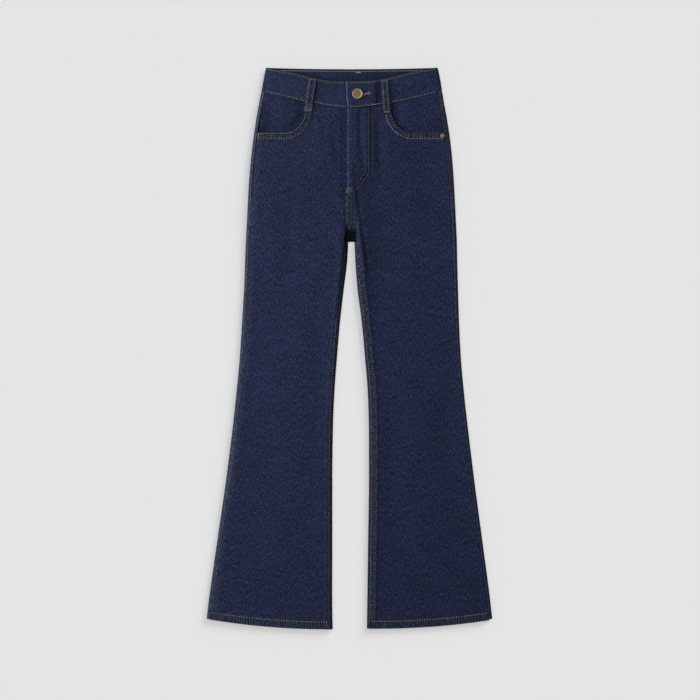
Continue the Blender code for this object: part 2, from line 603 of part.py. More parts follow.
# ---- Waistband ----
def waistband():
    """One strip: buttonhole end, left front, round the side, back, round the other side, button end."""
    shares = (0.0, *BUTTONHOLE["share"], 1.0)
    front_top = PROP + 2.0 * BAND_WALL + GAP
    radius = (front_top - PROP) / 2.0
    corner = BAND_LANE * math.floor((section("left_out", 0.0) - radius) / BAND_LANE)
    left_front = (FLY_EDGE, 5.0, *BUTTONHOLE["x"], 31.0, *np.linspace(*OVERLAP_FADE, 5),
                  *np.arange(OVERLAP_FADE[1] + BAND_LANE, corner, BAND_LANE))
    right_front = (*np.arange(BAND_LANE - corner, BUTTON_END - BAND_LANE / 2, BAND_LANE), BUTTON_END)
    lines = []
    for share in shares:
        side_down = BAND_SIDE[0] + (BAND_SIDE[1] - BAND_SIDE[0]) * share
        line = []
        for x in left_front:
            down = band_edge(x, 1) + (band_edge(x, 2) - band_edge(x, 1)) * share
            lift = 1.0 - smooth((x - OVERLAP_FADE[0]) / (OVERLAP_FADE[1] - OVERLAP_FADE[0]))
            z = front_top + (BAND_WALL + GAP) * lift
            line.append((x, down, z, x, z - BAND_WALL))
        line += band_fold("left", side_down, radius)
        for across in (0.82, 0.55, 0.28, 0.0, -0.28, -0.55, -0.82):
            down = side_down + BACK_RISE * (1.0 - across * across)
            x = CENTRE + across * BACK_HALF
            line.append((x, down, PROP, x, PROP + BAND_WALL))
        line += band_fold("right", side_down, radius)[::-1]
        for x in right_front:
            down = band_edge(x, 1) + (band_edge(x, 2) - band_edge(x, 1)) * share
            line.append((x, down, front_top, x, front_top - BAND_WALL))
        lines.append(line)
    buttonhole = (1, left_front.index(BUTTONHOLE["x"][0]))
    return wall_of_rows("waistband", lines, buttonhole)


def band_fold(side, down, radius):
    """Points round a side fold of the band, from its front face down to its back face."""
    sign, edge = SIGN[side], section(side + "_out", down)
    points = []
    for angle in np.linspace(math.pi / 2.0, -math.pi / 2.0, ROLL_STEPS + 1):
        turn, lift = math.cos(angle), math.sin(angle)
        points.append((edge - sign * radius * (1.0 - turn), down, PROP + radius * (1.0 + lift),
                       edge - sign * radius + sign * (radius - BAND_WALL) * turn,
                       PROP + radius + (radius - BAND_WALL) * lift))
    return points


# ---- Trim ----
def strip(name, ends, heights, thickness):
    """A sewn strip from its top end to its low end, with the given heights of its underside."""
    x0, down0, x1, down1, width = ends
    t = np.linspace(0.0, 1.0, len(heights))[:, None]
    across = np.array((-0.5, 0.0, 0.5))[None, :] * width
    x = x0 + (x1 - x0) * t + across
    down = down0 + (down1 - down0) * t + 0.0 * across
    low = np.asarray(heights)[:, None] + 0.0 * across
    return wall(name, x, down, low + thickness, low)


def belt_loops():
    """Front loops that bow up over the band, and back loops that lie flat under it."""
    for name, ends in FRONT_LOOPS.items():
        strip(name, ends, LOOP_LEVEL + LOOP_BULGE * np.array(LOOP_BOW), TWILL)
    for name, ends in BACK_LOOPS.items():
        strip(name, ends, np.zeros(4), TWILL)


def zip_strip():
    """The closed zip on its tape, between the fly and the right front's edge."""
    down = np.linspace(*ZIP["down"], 8)[:, None]
    across = np.linspace(*ZIP["x"], 4)[None, :]
    x, down = across + 0.0 * down, down + 0.0 * across
    upper = top(x, down) - WALL - GAP
    return wall("zip", x, down, upper, upper - ZIP["thick"])


def turned(name, profile, at, base, steps):
    """A round piece spun from a profile of (radius, height) points, which starts and ends on its axis."""
    mesh = bmesh.new()
    middle = place(*at, 0.0)
    verts = [mesh.verts.new((middle[0] + r * MM, middle[1], (base + z) * MM)) for r, z in profile]
    edges = [mesh.edges.new(pair) for pair in zip(verts, verts[1:])]
    bmesh.ops.spin(mesh, geom=verts + edges, cent=middle, axis=(0.0, 0.0, 1.0), angle=2.0 * math.pi,
                   steps=steps, use_merge=True)
    bmesh.ops.remove_doubles(mesh, verts=mesh.verts, dist=1e-6)
    return finish(name, mesh, brass(name))


def button():
    """A shank button: its shank stands on the button end and passes through the buttonhole."""
    cap = BAND_WALL + GAP
    brim = cap + BUTTON_HEIGHT
    profile = ((0.0, 0.0), (SHANK_RADIUS, 0.0), (SHANK_RADIUS, cap), (BUTTON_RADIUS - 0.8, cap),
               (BUTTON_RADIUS, cap + 0.7), (BUTTON_RADIUS, brim - 0.7), (BUTTON_RADIUS - 0.7, brim),
               (BUTTON_RADIUS - 1.9, brim), (BUTTON_RADIUS - 2.8, brim - 0.5), (2.4, brim - 0.3),
               (0.0, brim - 0.1))
    return turned("button", profile, BUTTON_AT, PROP + 2.0 * (BAND_WALL + GAP), 24)


def rivet():
    """A small domed rivet at the side end of the left pocket mouth."""
    profile = ((0.0, 0.0), (RIVET_RADIUS, 0.0), (RIVET_RADIUS, 0.4), (RIVET_RADIUS - 0.6, 0.9),
               (2.2, 0.8), (1.7, 1.3), (0.0, 1.5))
    return turned("rivet_left", profile, RIVET_AT, float(top(*RIVET_AT)) + MOUTH_BAND[1] + GAP, 16)


def main():
    """Clear the scene and make every piece."""
    for piece in list(bpy.data.objects):
        bpy.data.objects.remove(piece)
    for side in ("right", "left"):
        front(side)
        facing(side)
        back(side)
        yoke(side)
        back_pocket(side)
    waistband()
    belt_loops()
    zip_strip()
    button()
    rivet()


main()
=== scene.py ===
"""Flared jeans in dark indigo denim, laid flat front up, with topstitching, a metal button and a rivet.

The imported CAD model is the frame. Every cloth solid is replaced by a finer thin shell on the same form,
with creases, felled edges and puckers; the stitches are threads laid along the seams.

The cut is in millimetres: x to the wearer's left, `down` below the waist's corners, z up from the
surface. `laid` turns that into the row's frame in metres.
"""
import json
import logging
import math
from dataclasses import dataclass, field
from enum import Enum
from typing import Callable, Sequence

import bmesh
import bpy
import numpy as np
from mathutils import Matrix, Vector

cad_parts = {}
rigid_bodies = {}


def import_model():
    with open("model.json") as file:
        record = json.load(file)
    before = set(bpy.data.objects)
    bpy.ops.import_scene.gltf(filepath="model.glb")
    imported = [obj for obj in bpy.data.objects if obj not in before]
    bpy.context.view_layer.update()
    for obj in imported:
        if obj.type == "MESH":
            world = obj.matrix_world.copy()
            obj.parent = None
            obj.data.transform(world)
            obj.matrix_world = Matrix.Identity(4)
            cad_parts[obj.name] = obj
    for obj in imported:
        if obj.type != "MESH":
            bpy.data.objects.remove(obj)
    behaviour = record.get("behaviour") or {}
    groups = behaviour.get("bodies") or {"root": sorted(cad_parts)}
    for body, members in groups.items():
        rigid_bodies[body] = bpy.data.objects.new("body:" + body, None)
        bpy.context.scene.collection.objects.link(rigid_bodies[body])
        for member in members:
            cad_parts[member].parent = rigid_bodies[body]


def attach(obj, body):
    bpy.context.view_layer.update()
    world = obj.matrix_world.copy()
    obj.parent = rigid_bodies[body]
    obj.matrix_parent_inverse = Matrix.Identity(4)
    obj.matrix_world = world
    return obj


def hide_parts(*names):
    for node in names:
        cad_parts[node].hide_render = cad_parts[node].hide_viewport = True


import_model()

Array = np.ndarray
Number = float | Array
Pair = tuple[float, float]
Triple = tuple[float, float, float]
HeightAt = Callable[[Array, Array], Array]  # a surface's height at any x and down
Piece = bpy.types.Object
Material = bpy.types.Material
log = logging.getLogger("flared_jeans")

MM = 0.001
BODY = "root"
CLOTH_MAP = "cloth"             # UV map of every cloth piece and thread, in metres of cloth
WEAR_AND_SHADE = "wear_and_shade"                   # point value: how far the indigo has rubbed off; below 0, how much painted shade darkens the cloth
ROPING = "roping"               # point value: puckers that run down the cloth, or below 0 across it
WAVE = 2.0 * math.pi / 20.0     # scale of a wave texture whose bands lie one unit apart
FAR = 1000.0                    # a distance in millimetres that counts as not near


# ---- Small maths ----
def smooth(t: Number) -> Array:
    """Smooth step from 0 to 1."""
    t = np.clip(t, 0.0, 1.0)
    return t * t * (3.0 - 2.0 * t)


def bell(t: Number) -> Array:
    """A soft bump, 1 at 0."""
    return np.exp(-np.square(t))


def monotone(stations: Array, values: Array, at: Number) -> Array:
    """Monotone cubic through the stations.

    Args:
        stations: Increasing places along the cut.
        values: The value at each station.
        at: Where it is wanted.

    Returns:
        The value there, with no overshoot between stations.
    """
    at = np.asarray(at, float)
    step = np.diff(stations)
    slope = np.diff(values) / step
    tangent = np.zeros(len(stations))
    tangent[0], tangent[-1] = slope[0], slope[-1]
    for i in range(1, len(slope)):
        if slope[i - 1] * slope[i] > 0:
            before, after = 2 * step[i] + step[i - 1], step[i] + 2 * step[i - 1]
            tangent[i] = (before + after) / (before / slope[i - 1] + after / slope[i])
    i = np.clip(np.searchsorted(stations, at) - 1, 0, len(step) - 1)
    t = np.clip((at - stations[i]) / step[i], 0.0, 1.0)
    return ((1 + 2 * t) * (1 - t) ** 2 * values[i] + t * (1 - t) ** 2 * step[i] * tangent[i]
            + t * t * (3 - 2 * t) * values[i + 1] + t * t * (t - 1) * step[i] * tangent[i + 1])


def spaced(*stops: Pair) -> Array:
    """Values that run through the stops.

    Args:
        stops: Each stop and the widest step allowed on the way to the next one.

    Returns:
        The values, evenly spaced between each two stops.
    """
    runs = []
    for (start, step), (end, _) in zip(stops, stops[1:]):
        count = max(1, math.ceil(abs(end - start) / step - 1e-6))
        runs.append(np.linspace(start, end, count, endpoint=False))
    return np.concatenate(runs + [np.array([stops[-1][0]])])


def together(x: Number, down: Number) -> tuple[Array, Array]:
    """x and down as arrays of one shape."""
    x, down = np.broadcast_arrays(x, down)
    return np.asarray(x, float), np.asarray(down, float)


def run_along(x: Array, y: Array) -> Array:
    """Length run along each row of points, from 0 at its first one."""
    steps = np.hypot(np.diff(x), np.diff(y))
    return np.concatenate([np.zeros((*steps.shape[:-1], 1)), np.cumsum(steps, axis=-1)], axis=-1)


def half_turn(steps: int) -> tuple[Array, Array]:
    """Cosine and sine of a half turn from straight up to straight down, as one row."""
    angle = np.linspace(math.pi / 2.0, -math.pi / 2.0, steps + 1)[None, :]
    return np.cos(angle), np.sin(angle)


@dataclass(frozen=True)
class Lumps:
    """Gentle unevenness: random heights on a lattice of the given size, joined smoothly."""

    size: float
    seed: int
    across: float = 1.0
    cells: int = 192

    def __call__(self, x: Number, y: Number) -> Array:
        """Height from -1 to 1 at each point.

        Args:
            x: The points' first coordinate.
            y: Their second one.

        Returns:
            One height for each point.
        """
        table = np.random.default_rng(self.seed).uniform(-1.0, 1.0, (self.cells, self.cells))
        u = np.asarray(x, float) / (self.size * self.across) + self.cells / 2
        v = np.asarray(y, float) / self.size + self.cells / 4
        i, j = np.floor(u).astype(int), np.floor(v).astype(int)
        s, t = smooth(u - i), smooth(v - j)
        i0, i1, j0, j1 = (k % self.cells for k in (i, i + 1, j, j + 1))
        return ((table[i0, j0] * (1 - s) + table[i1, j0] * s) * (1 - t)
                + (table[i0, j1] * (1 - s) + table[i1, j1] * s) * t)


class Side(Enum):
    """The wearer's side, and its direction along x."""

    RIGHT = -1.0
    LEFT = 1.0

    @property
    def word(self) -> str:
        """The side as it stands in names."""
        return self.name.lower()

    def pick(self, right: float, left: float) -> float:
        """The value for this side."""
        return right if self is Side.RIGHT else left


# ---- The cut ----
SECTION_COLUMNS = ("down", "right_out", "right_in", "left_in", "left_out", "middle", "rim",
                   "right_side", "right_inseam", "left_side", "left_inseam")
SECTIONS = np.array((
    # down, the four edges' x, cloth height in the middle and at the edges, seams' distance from the edges
    (0, -158, -4, 12, 166.7, 7, 7.4, 6.4, 8.4, 9.2, 4.4),
    (22.7, -162.7, -4, 12, 171.6, 7, 7.4, 6.4, 8.4, 9.2, 4.4),
    (45.4, -166.7, -4, 12, 175.2, 7, 7.4, 6.4, 8.4, 9.2, 4.4),
    (68, -171, -4, 12, 179, 7, 7.5, 6.4, 8.4, 9.2, 4.4),
    (98.3, -176.3, -4, 12, 184.5, 7, 7.6, 6.4, 8.4, 9.2, 4.4),
    (155, -184.3, -4, 12, 192.4, 7, 7.8, 6.4, 8.4, 9.2, 4.4),
    (211.7, -189.6, -4, 12, 196.9, 7, 7.8, 6.4, 8.4, 9.2, 4.4),
    (279.7, -193.2, -4, 12, 200.5, 6.5, 7.5, 6.4, 8.4, 8.6, 4.4),
    (327.9, -195.8, -2.5, 9.8, 202.8, 6, 7.2, 6.2, 8.4, 8, 4.4),
    (366.7, -197.3, -4.7, 11.2, 203.6, 5.8, 7.2, 6.2, 8.4, 7.6, 4.4),
    (412, -199, -10.2, 14.7, 204.9, 5.7, 7.1, 6.2, 7.6, 7.2, 4.4),
    (480.1, -203, -18, 23.2, 207, 5.6, 7, 6.2, 6.4, 6.8, 4.4),
    (548.1, -207.3, -23.8, 29.5, 210.5, 5.6, 7, 6.2, 5.6, 6.4, 4.4),
    (616.1, -213.9, -28.7, 34.8, 216.6, 5.6, 6.9, 6, 5.2, 6, 4.6),
    (684.2, -221.3, -31.4, 36.7, 224.3, 5.6, 6.9, 6, 5.2, 6, 4.8),
    (774.9, -232.8, -32.5, 36.9, 235.3, 5.6, 6.9, 6, 5.2, 6, 5),
    (888.3, -249.1, -32.5, 35.3, 250.4, 5.7, 6.9, 6, 5.2, 6, 5),
    (1001.7, -265.2, -32.7, 33.8, 265.4, 6.2, 7, 6, 5.2, 6, 5),
    (1039.5, -269.7, -32.3, 33.3, 269.7, 6.6, 7, 6, 5.2, 6, 5),
    (1059.7, -272.2, -31.6, 32.9, 272.2, 6.6, 7, 6, 5.2, 6, 5),
))
# The front edges of the waistband: distance from the centre, down to its top edge and to its seam
FRONT_BAND = np.array((
    (0, 26, 74.9), (30, 25.1, 72.3), (60, 21.1, 67.6), (90, 13.6, 62.6),
    (120, 6.8, 54.6), (145, 2.8, 48.9), (171.4, -0.6, 45), (190, -0.6, 45),
))


@dataclass(frozen=True)
class Fold:
    """A soft ridge, or a trough where the rise is negative, along a line."""

    name: str
    x0: float
    down0: float
    x1: float
    down1: float
    half_width: float
    rise: float

    def height(self, x: Number, down: Number) -> Array:
        """What it adds to the cloth's height.

        Args:
            x: The points' x.
            down: Their distance down.

        Returns:
            Height in millimetres.
        """
        t = (np.asarray(down, float) - self.down0) / (self.down1 - self.down0)
        along = smooth(t / 0.25) * smooth((1.0 - t) / 0.25)
        return self.rise * along * bell((x - self.x0 - (self.x1 - self.x0) * t) / self.half_width)


@dataclass(frozen=True)
class Dent:
    """A short crease at any angle: its middle, half length, half width, turn in degrees and rise."""

    name: str
    x: float
    down: float
    half_length: float
    half_width: float
    turn: float
    rise: float

    def height(self, x: Number, down: Number) -> Array:
        """What it adds to the cloth's height.

        Args:
            x: The points' x.
            down: Their distance down.

        Returns:
            Height in millimetres.
        """
        cos, sin = math.cos(math.radians(self.turn)), math.sin(math.radians(self.turn))
        dx, dd = x - self.x, np.asarray(down, float) - self.down
        return self.rise * bell((dx * cos + dd * sin) / self.half_length) * bell(
            (dd * cos - dx * sin) / self.half_width)


BROAD_FOLDS = (
    Fold("fly ridge", 9, 0, 9, 330, 22, 0.8),
    Fold("ridge beside fly", 39, 70, 40, 240, 9, 0.3),
    Fold("trough beside fly", 60, 66, 59, 250, 10, -0.5),
    Fold("left thigh ridge", 25, 205, 33, 520, 13, 0.7),
    Fold("left thigh trough", 58, 205, 62, 520, 16, -0.5),
    Fold("left shin ridge", 128, 470, 138, 980, 30, 0.35),
    Fold("left shin trough", 84, 620, 92, 1030, 18, -0.3),
    Fold("right front ridge", -56, 82, -58, 262, 14, 0.35),
    Fold("right front trough", -27, 100, -25, 215, 9, -0.3),
    Fold("right thigh trough", -119, 215, -121, 470, 13, -0.45),
    Fold("right thigh ridge", -156, 150, -158, 470, 20, 0.3),
    Fold("right shin ridge", -100, 430, -122, 960, 28, 0.35),
    Fold("right shin trough", -150, 560, -168, 1020, 20, -0.3),
)
FINE_FOLDS = (
    Fold("fly crease", 19.5, 60, 20, 172, 3.4, -1.15),
    Fold("fly crease low", 24.5, 118, 25, 205, 3, -0.60),
    Fold("fly rib", 12.5, 76, 12.5, 188, 2.6, 0.35),
    Fold("crease beside centre seam", 7.2, 190, 37, 392, 3.6, -0.95),
    Fold("shade beside centre seam", 27, 214, 44, 430, 12, -0.45),
    Fold("right leg's inner ridge", -17, 262, -26, 480, 4, 0.30),
    Fold("fly inner rib", 5, 70, 6, 205, 3.4, 0.35),
    Fold("right of fly rib", 46, 78, 47, 214, 5, 0.35),
    Fold("right of fly crease", 53, 82, 54, 190, 4.2, -0.40),
    Fold("below left loop", 78, 92, 84, 190, 6.5, -0.35),
    Fold("below right loop", -66, 92, -50, 150, 4, 0.32),
    Fold("beside fold line", -14, 82, -13, 232, 4.5, -0.32),
    Fold("left hip wave", 118, 150, 112, 330, 13, 0.29),
    Fold("left hip dip", 152, 140, 146, 360, 15, -0.26),
    Fold("right hip wave", -98, 150, -92, 330, 12, 0.29),
    Fold("left knee wave", 104, 430, 112, 700, 20, 0.26),
    Fold("right knee wave", -88, 420, -96, 700, 18, 0.26),
    Fold("right knee dip", -60, 400, -66, 780, 12, -0.29),
    Fold("left calf dip", 180, 560, 196, 900, 16, -0.24),
    Fold("left inner calf wave", 62, 560, 62, 980, 10, 0.22),
    Fold("right inner calf wave", -54, 600, -56, 1000, 9, 0.26),
    Fold("right outer calf wave", -206, 640, -226, 1000, 14, 0.26),
)
DENTS = (
    Dent("whisker right one", -66, 112, 15, 2.6, 58, 0.30),
    Dent("whisker right two", -46, 104, 12, 3, 66, -0.27),
    Dent("whisker left one", 70, 118, 14, 3, -62, 0.24),
    Dent("under the band right", -18, 79, 5, 2.4, 18, -0.33),
    Dent("under the band left", 46, 78, 6, 2.4, -14, -0.30),
    Dent("fly foot", 30, 232, 12, 4, -48, -0.38),
    Dent("fork right one", -24, 268, 26, 5, 62, -0.45),
    Dent("fork right two", -44, 286, 24, 6, 56, 0.33),
    Dent("fork left one", 34, 262, 24, 5, -60, -0.39),
    Dent("fork left two", 52, 288, 26, 7, -54, 0.30),
    Dent("hip right", -150, 150, 22, 5, 12, -0.21),
    Dent("hip left", 158, 156, 22, 5, -14, -0.21),
    Dent("knee right one", -120, 520, 30, 7, 14, -0.21),
    Dent("knee right two", -80, 556, 26, 7, -10, 0.18),
    Dent("knee left one", 96, 512, 30, 7, -12, -0.21),
    Dent("knee left two", 140, 548, 26, 7, 9, 0.18),
)
# Lines along which the fronts are painted paler, as wear and as light on ridges, and darker where the rise is
# negative, mostly as painted shade in creases and the fork
CREASE_WEAR_AND_SHADE = (
    Fold("fly crease's depth", 18.5, 60, 19, 176, 2.8, -0.06),
    Fold("low fly crease's depth", 24, 120, 24.5, 205, 2.4, -0.05),
    Fold("fly's inner edge", 8.5, 66, 8.5, 205, 3, -0.10),
    Fold("beside the fly", 51, 66, 51, 235, 6.5, -0.16),
    Fold("ridge beside the fly", 43.5, 66, 44, 220, 3.4, 0.07),
    Fold("beside the centre seam", 3, 150, 38, 425, 5.5, -0.44),
    Fold("broad beside the centre seam", 26, 150, 56, 440, 15, -0.20),
    Fold("right thigh", -112, 190, -121, 400, 8, -0.15),
    Fold("below the right loop", -68.5, 90, -55, 132, 2.2, 0.20),
    Fold("right front one", -60, 78, -56, 165, 5, -0.10),
    Fold("right front two", -36, 90, -24, 215, 6, -0.22),
    Fold("right front three", -43, 76, -44, 160, 4, 0.08),
    Fold("left front", 78, 96, 86, 200, 6, -0.05),
    Fold("end of the centre seam", 0, 232, 0, 312, 6, -0.30),
    Fold("under the fly's bartack", -0.5, 222, -0.5, 239, 5, -0.35),
    Fold("right hip", -100, 70, -108, 330, 60, -0.09),
    Fold("left hip", 100, 70, 108, 330, 60, -0.08),
)
UNEVEN = ((0.16, Lumps(46.0, 11)), (0.07, Lumps(17.0, 12, 0.8)))    # rises and their lumps
# Painted shade between the legs on the right leg's inner edge: distances down, and how dark it is painted
# there
FORK_PAINTED_SHADE = ((300.0, 318.0, 345.0, 381.0, 419.0, 476.0, 523.0, 580.0),
             (0.5, 1.0, 0.95, 0.66, 0.56, 0.34, 0.12, 0.0))


@dataclass(frozen=True)
class Cut:
    """The garment's seams, edges and heights in millimetres."""

    length: float = 1059.5
    centre: float = 3.8
    crotch: float = 327.9
    straight: float = 160.0         # down to where the rows of the panels become level
    hem_corner: float = 1040.2
    hem_sag: Pair = (40.0, 20.5)
    hem_tilt: Pair = (1.2, -2.6)    # the left hem against the right one
    hem_ease: float = 880.0
    wall: float = 1.5
    light_wall: float = 1.2
    band_wall: float = 2.8
    hem_wall: float = 2.6
    gap: float = 0.3
    clear: float = 0.15     # how far the underside stays off the surface
    rim_width: float = 16.0
    fork_depth: float = 2.4
    fork_start: float = 236.0
    fork_slope: float = 9.0
    prop: float = 1.6
    prop_end: Pair = (262.0, 305.0)
    band_side: Pair = (-0.6, 45.0)
    back_rise: float = 2.6
    seam_sag: Triple = (1.6, 130.0, 28.0)   # the left of the band's seam: how far, where
    back_half: float = 160.0
    button_end: float = 43.5
    overlap_fade: Pair = (46.0, 59.0)
    fly_edge: float = -3.2
    fly_width: float = 40.9
    fly_raise: float = 0.6
    fly_end: float = 236.3
    fly_curve: float = 39.7
    fly_fade: float = 16.0
    seam_raise: float = 0.35
    tongue_end: float = 310.0
    mouth_starts: Pair = (-83.3, 80.0)      # right and left x at the waist seam
    mouth_middles: Pair = (-122.9, 121.0)   # and where the mouth becomes level
    mouth_points: int = 240
    mouth_turn: float = 79.8
    mouth_depth: float = 122.3
    mouth_band: Pair = (12.2, 0.5)
    inseam_band: Triple = (9.6, 11.8, 0.45)
    hem_band: Pair = (15.2, 0.35)
    hem_row: float = 13.6
    inseam_ridge: Pair = (14.0, 16.4)   # felled inseam's inner edge from the leg's outline
    step: float = 1.0
    yoke_side: float = 68.5
    yoke_centre: float = 116.0

    def section(self, column: str, down: Number) -> Array:
        """A column of the section table at any distance down."""
        return monotone(SECTIONS[:, 0], SECTIONS[:, SECTION_COLUMNS.index(column)], down)

    def outer(self, side: Side, down: Number) -> Array:
        """x of the garment's outline on the outside of a leg."""
        return self.section(side.word + "_out", down)

    def inner(self, side: Side, down: Number) -> Array:
        """x of a leg's inner outline."""
        return self.section(side.word + "_in", down)

    def side_seam(self, side: Side, down: Number) -> Array:
        """x of a front's edge at the side seam."""
        inset = self.section(side.word + "_side", down) + self.gap / 2
        return self.outer(side, down) - side.value * inset

    def inseam(self, side: Side, down: Number) -> Array:
        """x of a front's edge at the inseam."""
        inset = self.section(side.word + "_inseam", down) + self.gap / 2
        return self.inner(side, down) + side.value * inset

    def band_edge(self, x: Number, edge: int) -> Array:
        """Down to the front band's top edge (1) or its seam (2).

        Args:
            x: The points' x.
            edge: Which of the two edges.

        Returns:
            Distance down of the edge there.
        """
        sag, middle, half = self.seam_sag
        lower = sag * bell((np.asarray(x, float) - middle) / half) if edge == 2 else 0.0
        return lower + monotone(FRONT_BAND[:, 0], FRONT_BAND[:, edge],
                                np.abs(np.asarray(x, float) - self.centre))

    def mouth_start(self, side: Side) -> float:
        """x where a pocket mouth leaves the waist seam."""
        return side.pick(*self.mouth_starts)

    def bottom(self, down: Number) -> Array:
        """Height of the underside of the back cloth, before its creases."""
        start, end = self.prop_end
        return self.prop * (1.0 - smooth((np.asarray(down, float) - start) / (end - start)))

    def under(self, x: Number, down: Number) -> Array:
        """Height of the underside with the soft creases that lift off the surface.

        Args:
            x: The points' x.
            down: Their distance down.

        Returns:
            Height in millimetres.
        """
        lifted = np.maximum(-self.folds(np.asarray(x, float) + 22.0, np.asarray(down, float) - 18.0), 0.0)
        lumps = np.maximum(Lumps(70.0, 31)(x, down), 0.0)
        return self.bottom(down) + self.clear + 0.8 * lifted + 0.3 * lumps

    def edge_radius(self, down: Number) -> Array:
        """Radius of the folds at the outline."""
        return (self.section("rim", down) - self.bottom(down)) / 2.0

    def folds(self, x: Number, down: Number) -> Array:
        """The broad soft folds together."""
        return sum(fold.height(x, down) for fold in BROAD_FOLDS)

    def crease_wear_and_shade(self, x: Number, down: Number) -> Array:
        """How much paler the fronts are painted along their creases, as wear and light on ridges, and how
        much darker, mostly as painted shade.
        """
        return sum(rub.height(x, down) for rub in CREASE_WEAR_AND_SHADE)

    def in_fork(self, down: Number) -> Array:
        """How deep in the fork's painted shade the right leg's inner edge lies, from 0 to 1."""
        return np.interp(down, *FORK_PAINTED_SHADE)

    def creases(self, x: Number, down: Number) -> Array:
        """The finer folds, the short creases and the cloth's gentle unevenness together."""
        height = sum(crease.height(x, down) for crease in (*FINE_FOLDS, *DENTS))
        return height + sum(rise * lumps(x, down) for rise, lumps in UNEVEN)

    def round_off(self, distance: Number, radius: Number) -> Array:
        """How far a folded edge has dropped at this distance from its outermost line."""
        t = np.clip(1.0 - distance / radius, 0.0, 1.0)
        return radius * (1.0 - np.sqrt(1.0 - t * t))

    def top(self, x: Number, down: Number) -> Array:
        """Height of the top face of a single layer of the front.

        Args:
            x: The points' x.
            down: Their distance down.

        Returns:
            Height in millimetres.
        """
        x, down = np.asarray(x, float), np.asarray(down, float)
        on_right = x < self.centre
        outer = np.where(on_right, x - self.section("right_out", down), self.section("left_out", down) - x)
        inner = np.where(on_right, self.section("right_in", down) - x, x - self.section("left_in", down))
        middle, rim = self.section("middle", down), self.section("rim", down)
        on_leg = smooth((down - self.crotch + 12.0) / 24.0)
        swell = bell(np.maximum(outer, 0.0) / self.rim_width)
        swell = swell + on_leg * bell(np.maximum(inner, 0.0) / self.rim_width)
        radius = self.edge_radius(down)
        height = middle + (rim - middle) * np.minimum(swell, 1.0) + self.folds(x, down)
        calm = smooth(outer / 9.0) * (1.0 - on_leg + on_leg * smooth(inner / 9.0))
        height = height + self.creases(x, down) * calm
        valley = self.fork_depth * smooth((down - self.fork_start) / (self.crotch - self.fork_start - 6.0))
        height = height - self.round_off(outer, radius) - on_leg * self.round_off(inner, radius)
        return height - (1.0 - on_leg) * valley * (1.0 - smooth(inner / self.fork_slope))

    def sag(self, side: Side, share: Number) -> Array:
        """Extra length of the hem, by the share of the way from the outer to the inner edge."""
        tilt = self.hem_tilt[0] + self.hem_tilt[1] * share if side is Side.LEFT else 0.0
        return self.hem_sag[0] * share - self.hem_sag[1] * np.square(share) + tilt

    def sagged(self, side: Side, base: Number, share: Number) -> Array:
        """A level row's distance down, which turns into the hem's curve towards the bottom."""
        ease = smooth((base - self.hem_ease) / (self.hem_corner - self.hem_ease))
        return base + self.sag(side, share) * ease

    def hem_line(self, side: Side, x: Number) -> Array:
        """Down to the hem's edge."""
        outer, inner = self.outer(side, self.hem_corner), self.inner(side, self.hem_corner)
        return self.hem_corner + self.sag(side, np.clip((x - outer) / (inner - outer), 0.0, 1.0))

    def fly_line(self, x: Number) -> Array:
        """Down to the stitched curve at the bottom of the fly."""
        return self.fly_end - self.fly_curve * ((x - self.fly_edge) / self.fly_width) ** 2

    def mouth(self, side: Side, count: int) -> tuple[Array, Array, Array, Array]:
        """Points along a pocket mouth from the waist seam to the side seam.

        Args:
            side: The wearer's side.
            count: How many points, evenly spaced.

        Returns:
            x, down, and the x and down parts of the direction into the front.
        """
        start, middle = self.mouth_start(side), side.pick(*self.mouth_middles)
        angle = np.linspace(0.0, math.pi / 2.0, 33)
        end = float(self.side_seam(side, self.mouth_depth))
        x = np.concatenate(([start], middle - (middle - start) * np.cos(angle), [end]))
        down = np.concatenate(([float(self.band_edge(start, 2)) + self.gap],
                               self.mouth_turn + (self.mouth_depth - self.mouth_turn) * np.sin(angle),
                               [self.mouth_depth]))
        length = run_along(x, down)
        at = np.linspace(0.0, length[-1], count)
        ahead = np.interp(at + 1.0, length, x) - np.interp(at - 1.0, length, x)
        lower = np.interp(at + 1.0, length, down) - np.interp(at - 1.0, length, down)
        size = np.hypot(ahead, lower)
        return (np.interp(at, length, x), np.interp(at, length, down),
                -side.value * lower / size, side.value * ahead / size)

    def from_mouth(self, side: Side, x: Array, down: Array) -> tuple[Array, Array]:
        """Place of points against a pocket mouth.

        Args:
            side: The wearer's side.
            x: The points' x.
            down: The points' distance down.

        Returns:
            Distance into the front (negative in the mouth), and the length along the mouth.
        """
        mouth_x, mouth_down, normal_x, normal_down = self.mouth(side, self.mouth_points)
        away_x, away_down = x[..., None] - mouth_x, down[..., None] - mouth_down
        nearest = np.argmin(np.hypot(away_x, away_down), axis=-1)[..., None]
        past = np.take_along_axis(away_x * normal_x + away_down * normal_down, nearest, axis=-1)[..., 0]
        span = np.hypot(np.diff(mouth_x), np.diff(mouth_down)).sum() / (len(mouth_x) - 1)
        return past, nearest[..., 0] * span


CUT = Cut()


# ---- Meshes ----
def laid(x: Array, down: Array, z: Array) -> Array:
    """Points of the cut in metres, in the frame.

    Args:
        x: To the wearer's left, in millimetres.
        down: Below the waist's corners, in millimetres.
        z: Up from the surface, in millimetres.

    Returns:
        One row of three coordinates for each point.
    """
    x, down, z = np.broadcast_arrays(x, down, z)
    return np.stack([x, CUT.length / 2.0 - down, z], axis=-1).reshape(-1, 3) * MM


def deselect() -> None:
    """Leave nothing selected."""
    for piece in bpy.context.view_layer.objects:
        piece.select_set(False)


def new_piece(name: str, points: Array, faces: Sequence[Sequence[int]]) -> Piece:
    """A mesh piece at the origin.

    Args:
        name: Its name.
        points: Its corners in metres.
        faces: Its faces by corner number.

    Returns:
        The piece, linked into the scene.
    """
    data = bpy.data.meshes.new(name)
    data.from_pydata([tuple(p) for p in points], [], [tuple(f) for f in faces])
    data.validate()
    piece = bpy.data.objects.new(name, data)
    bpy.context.collection.objects.link(piece)
    return piece


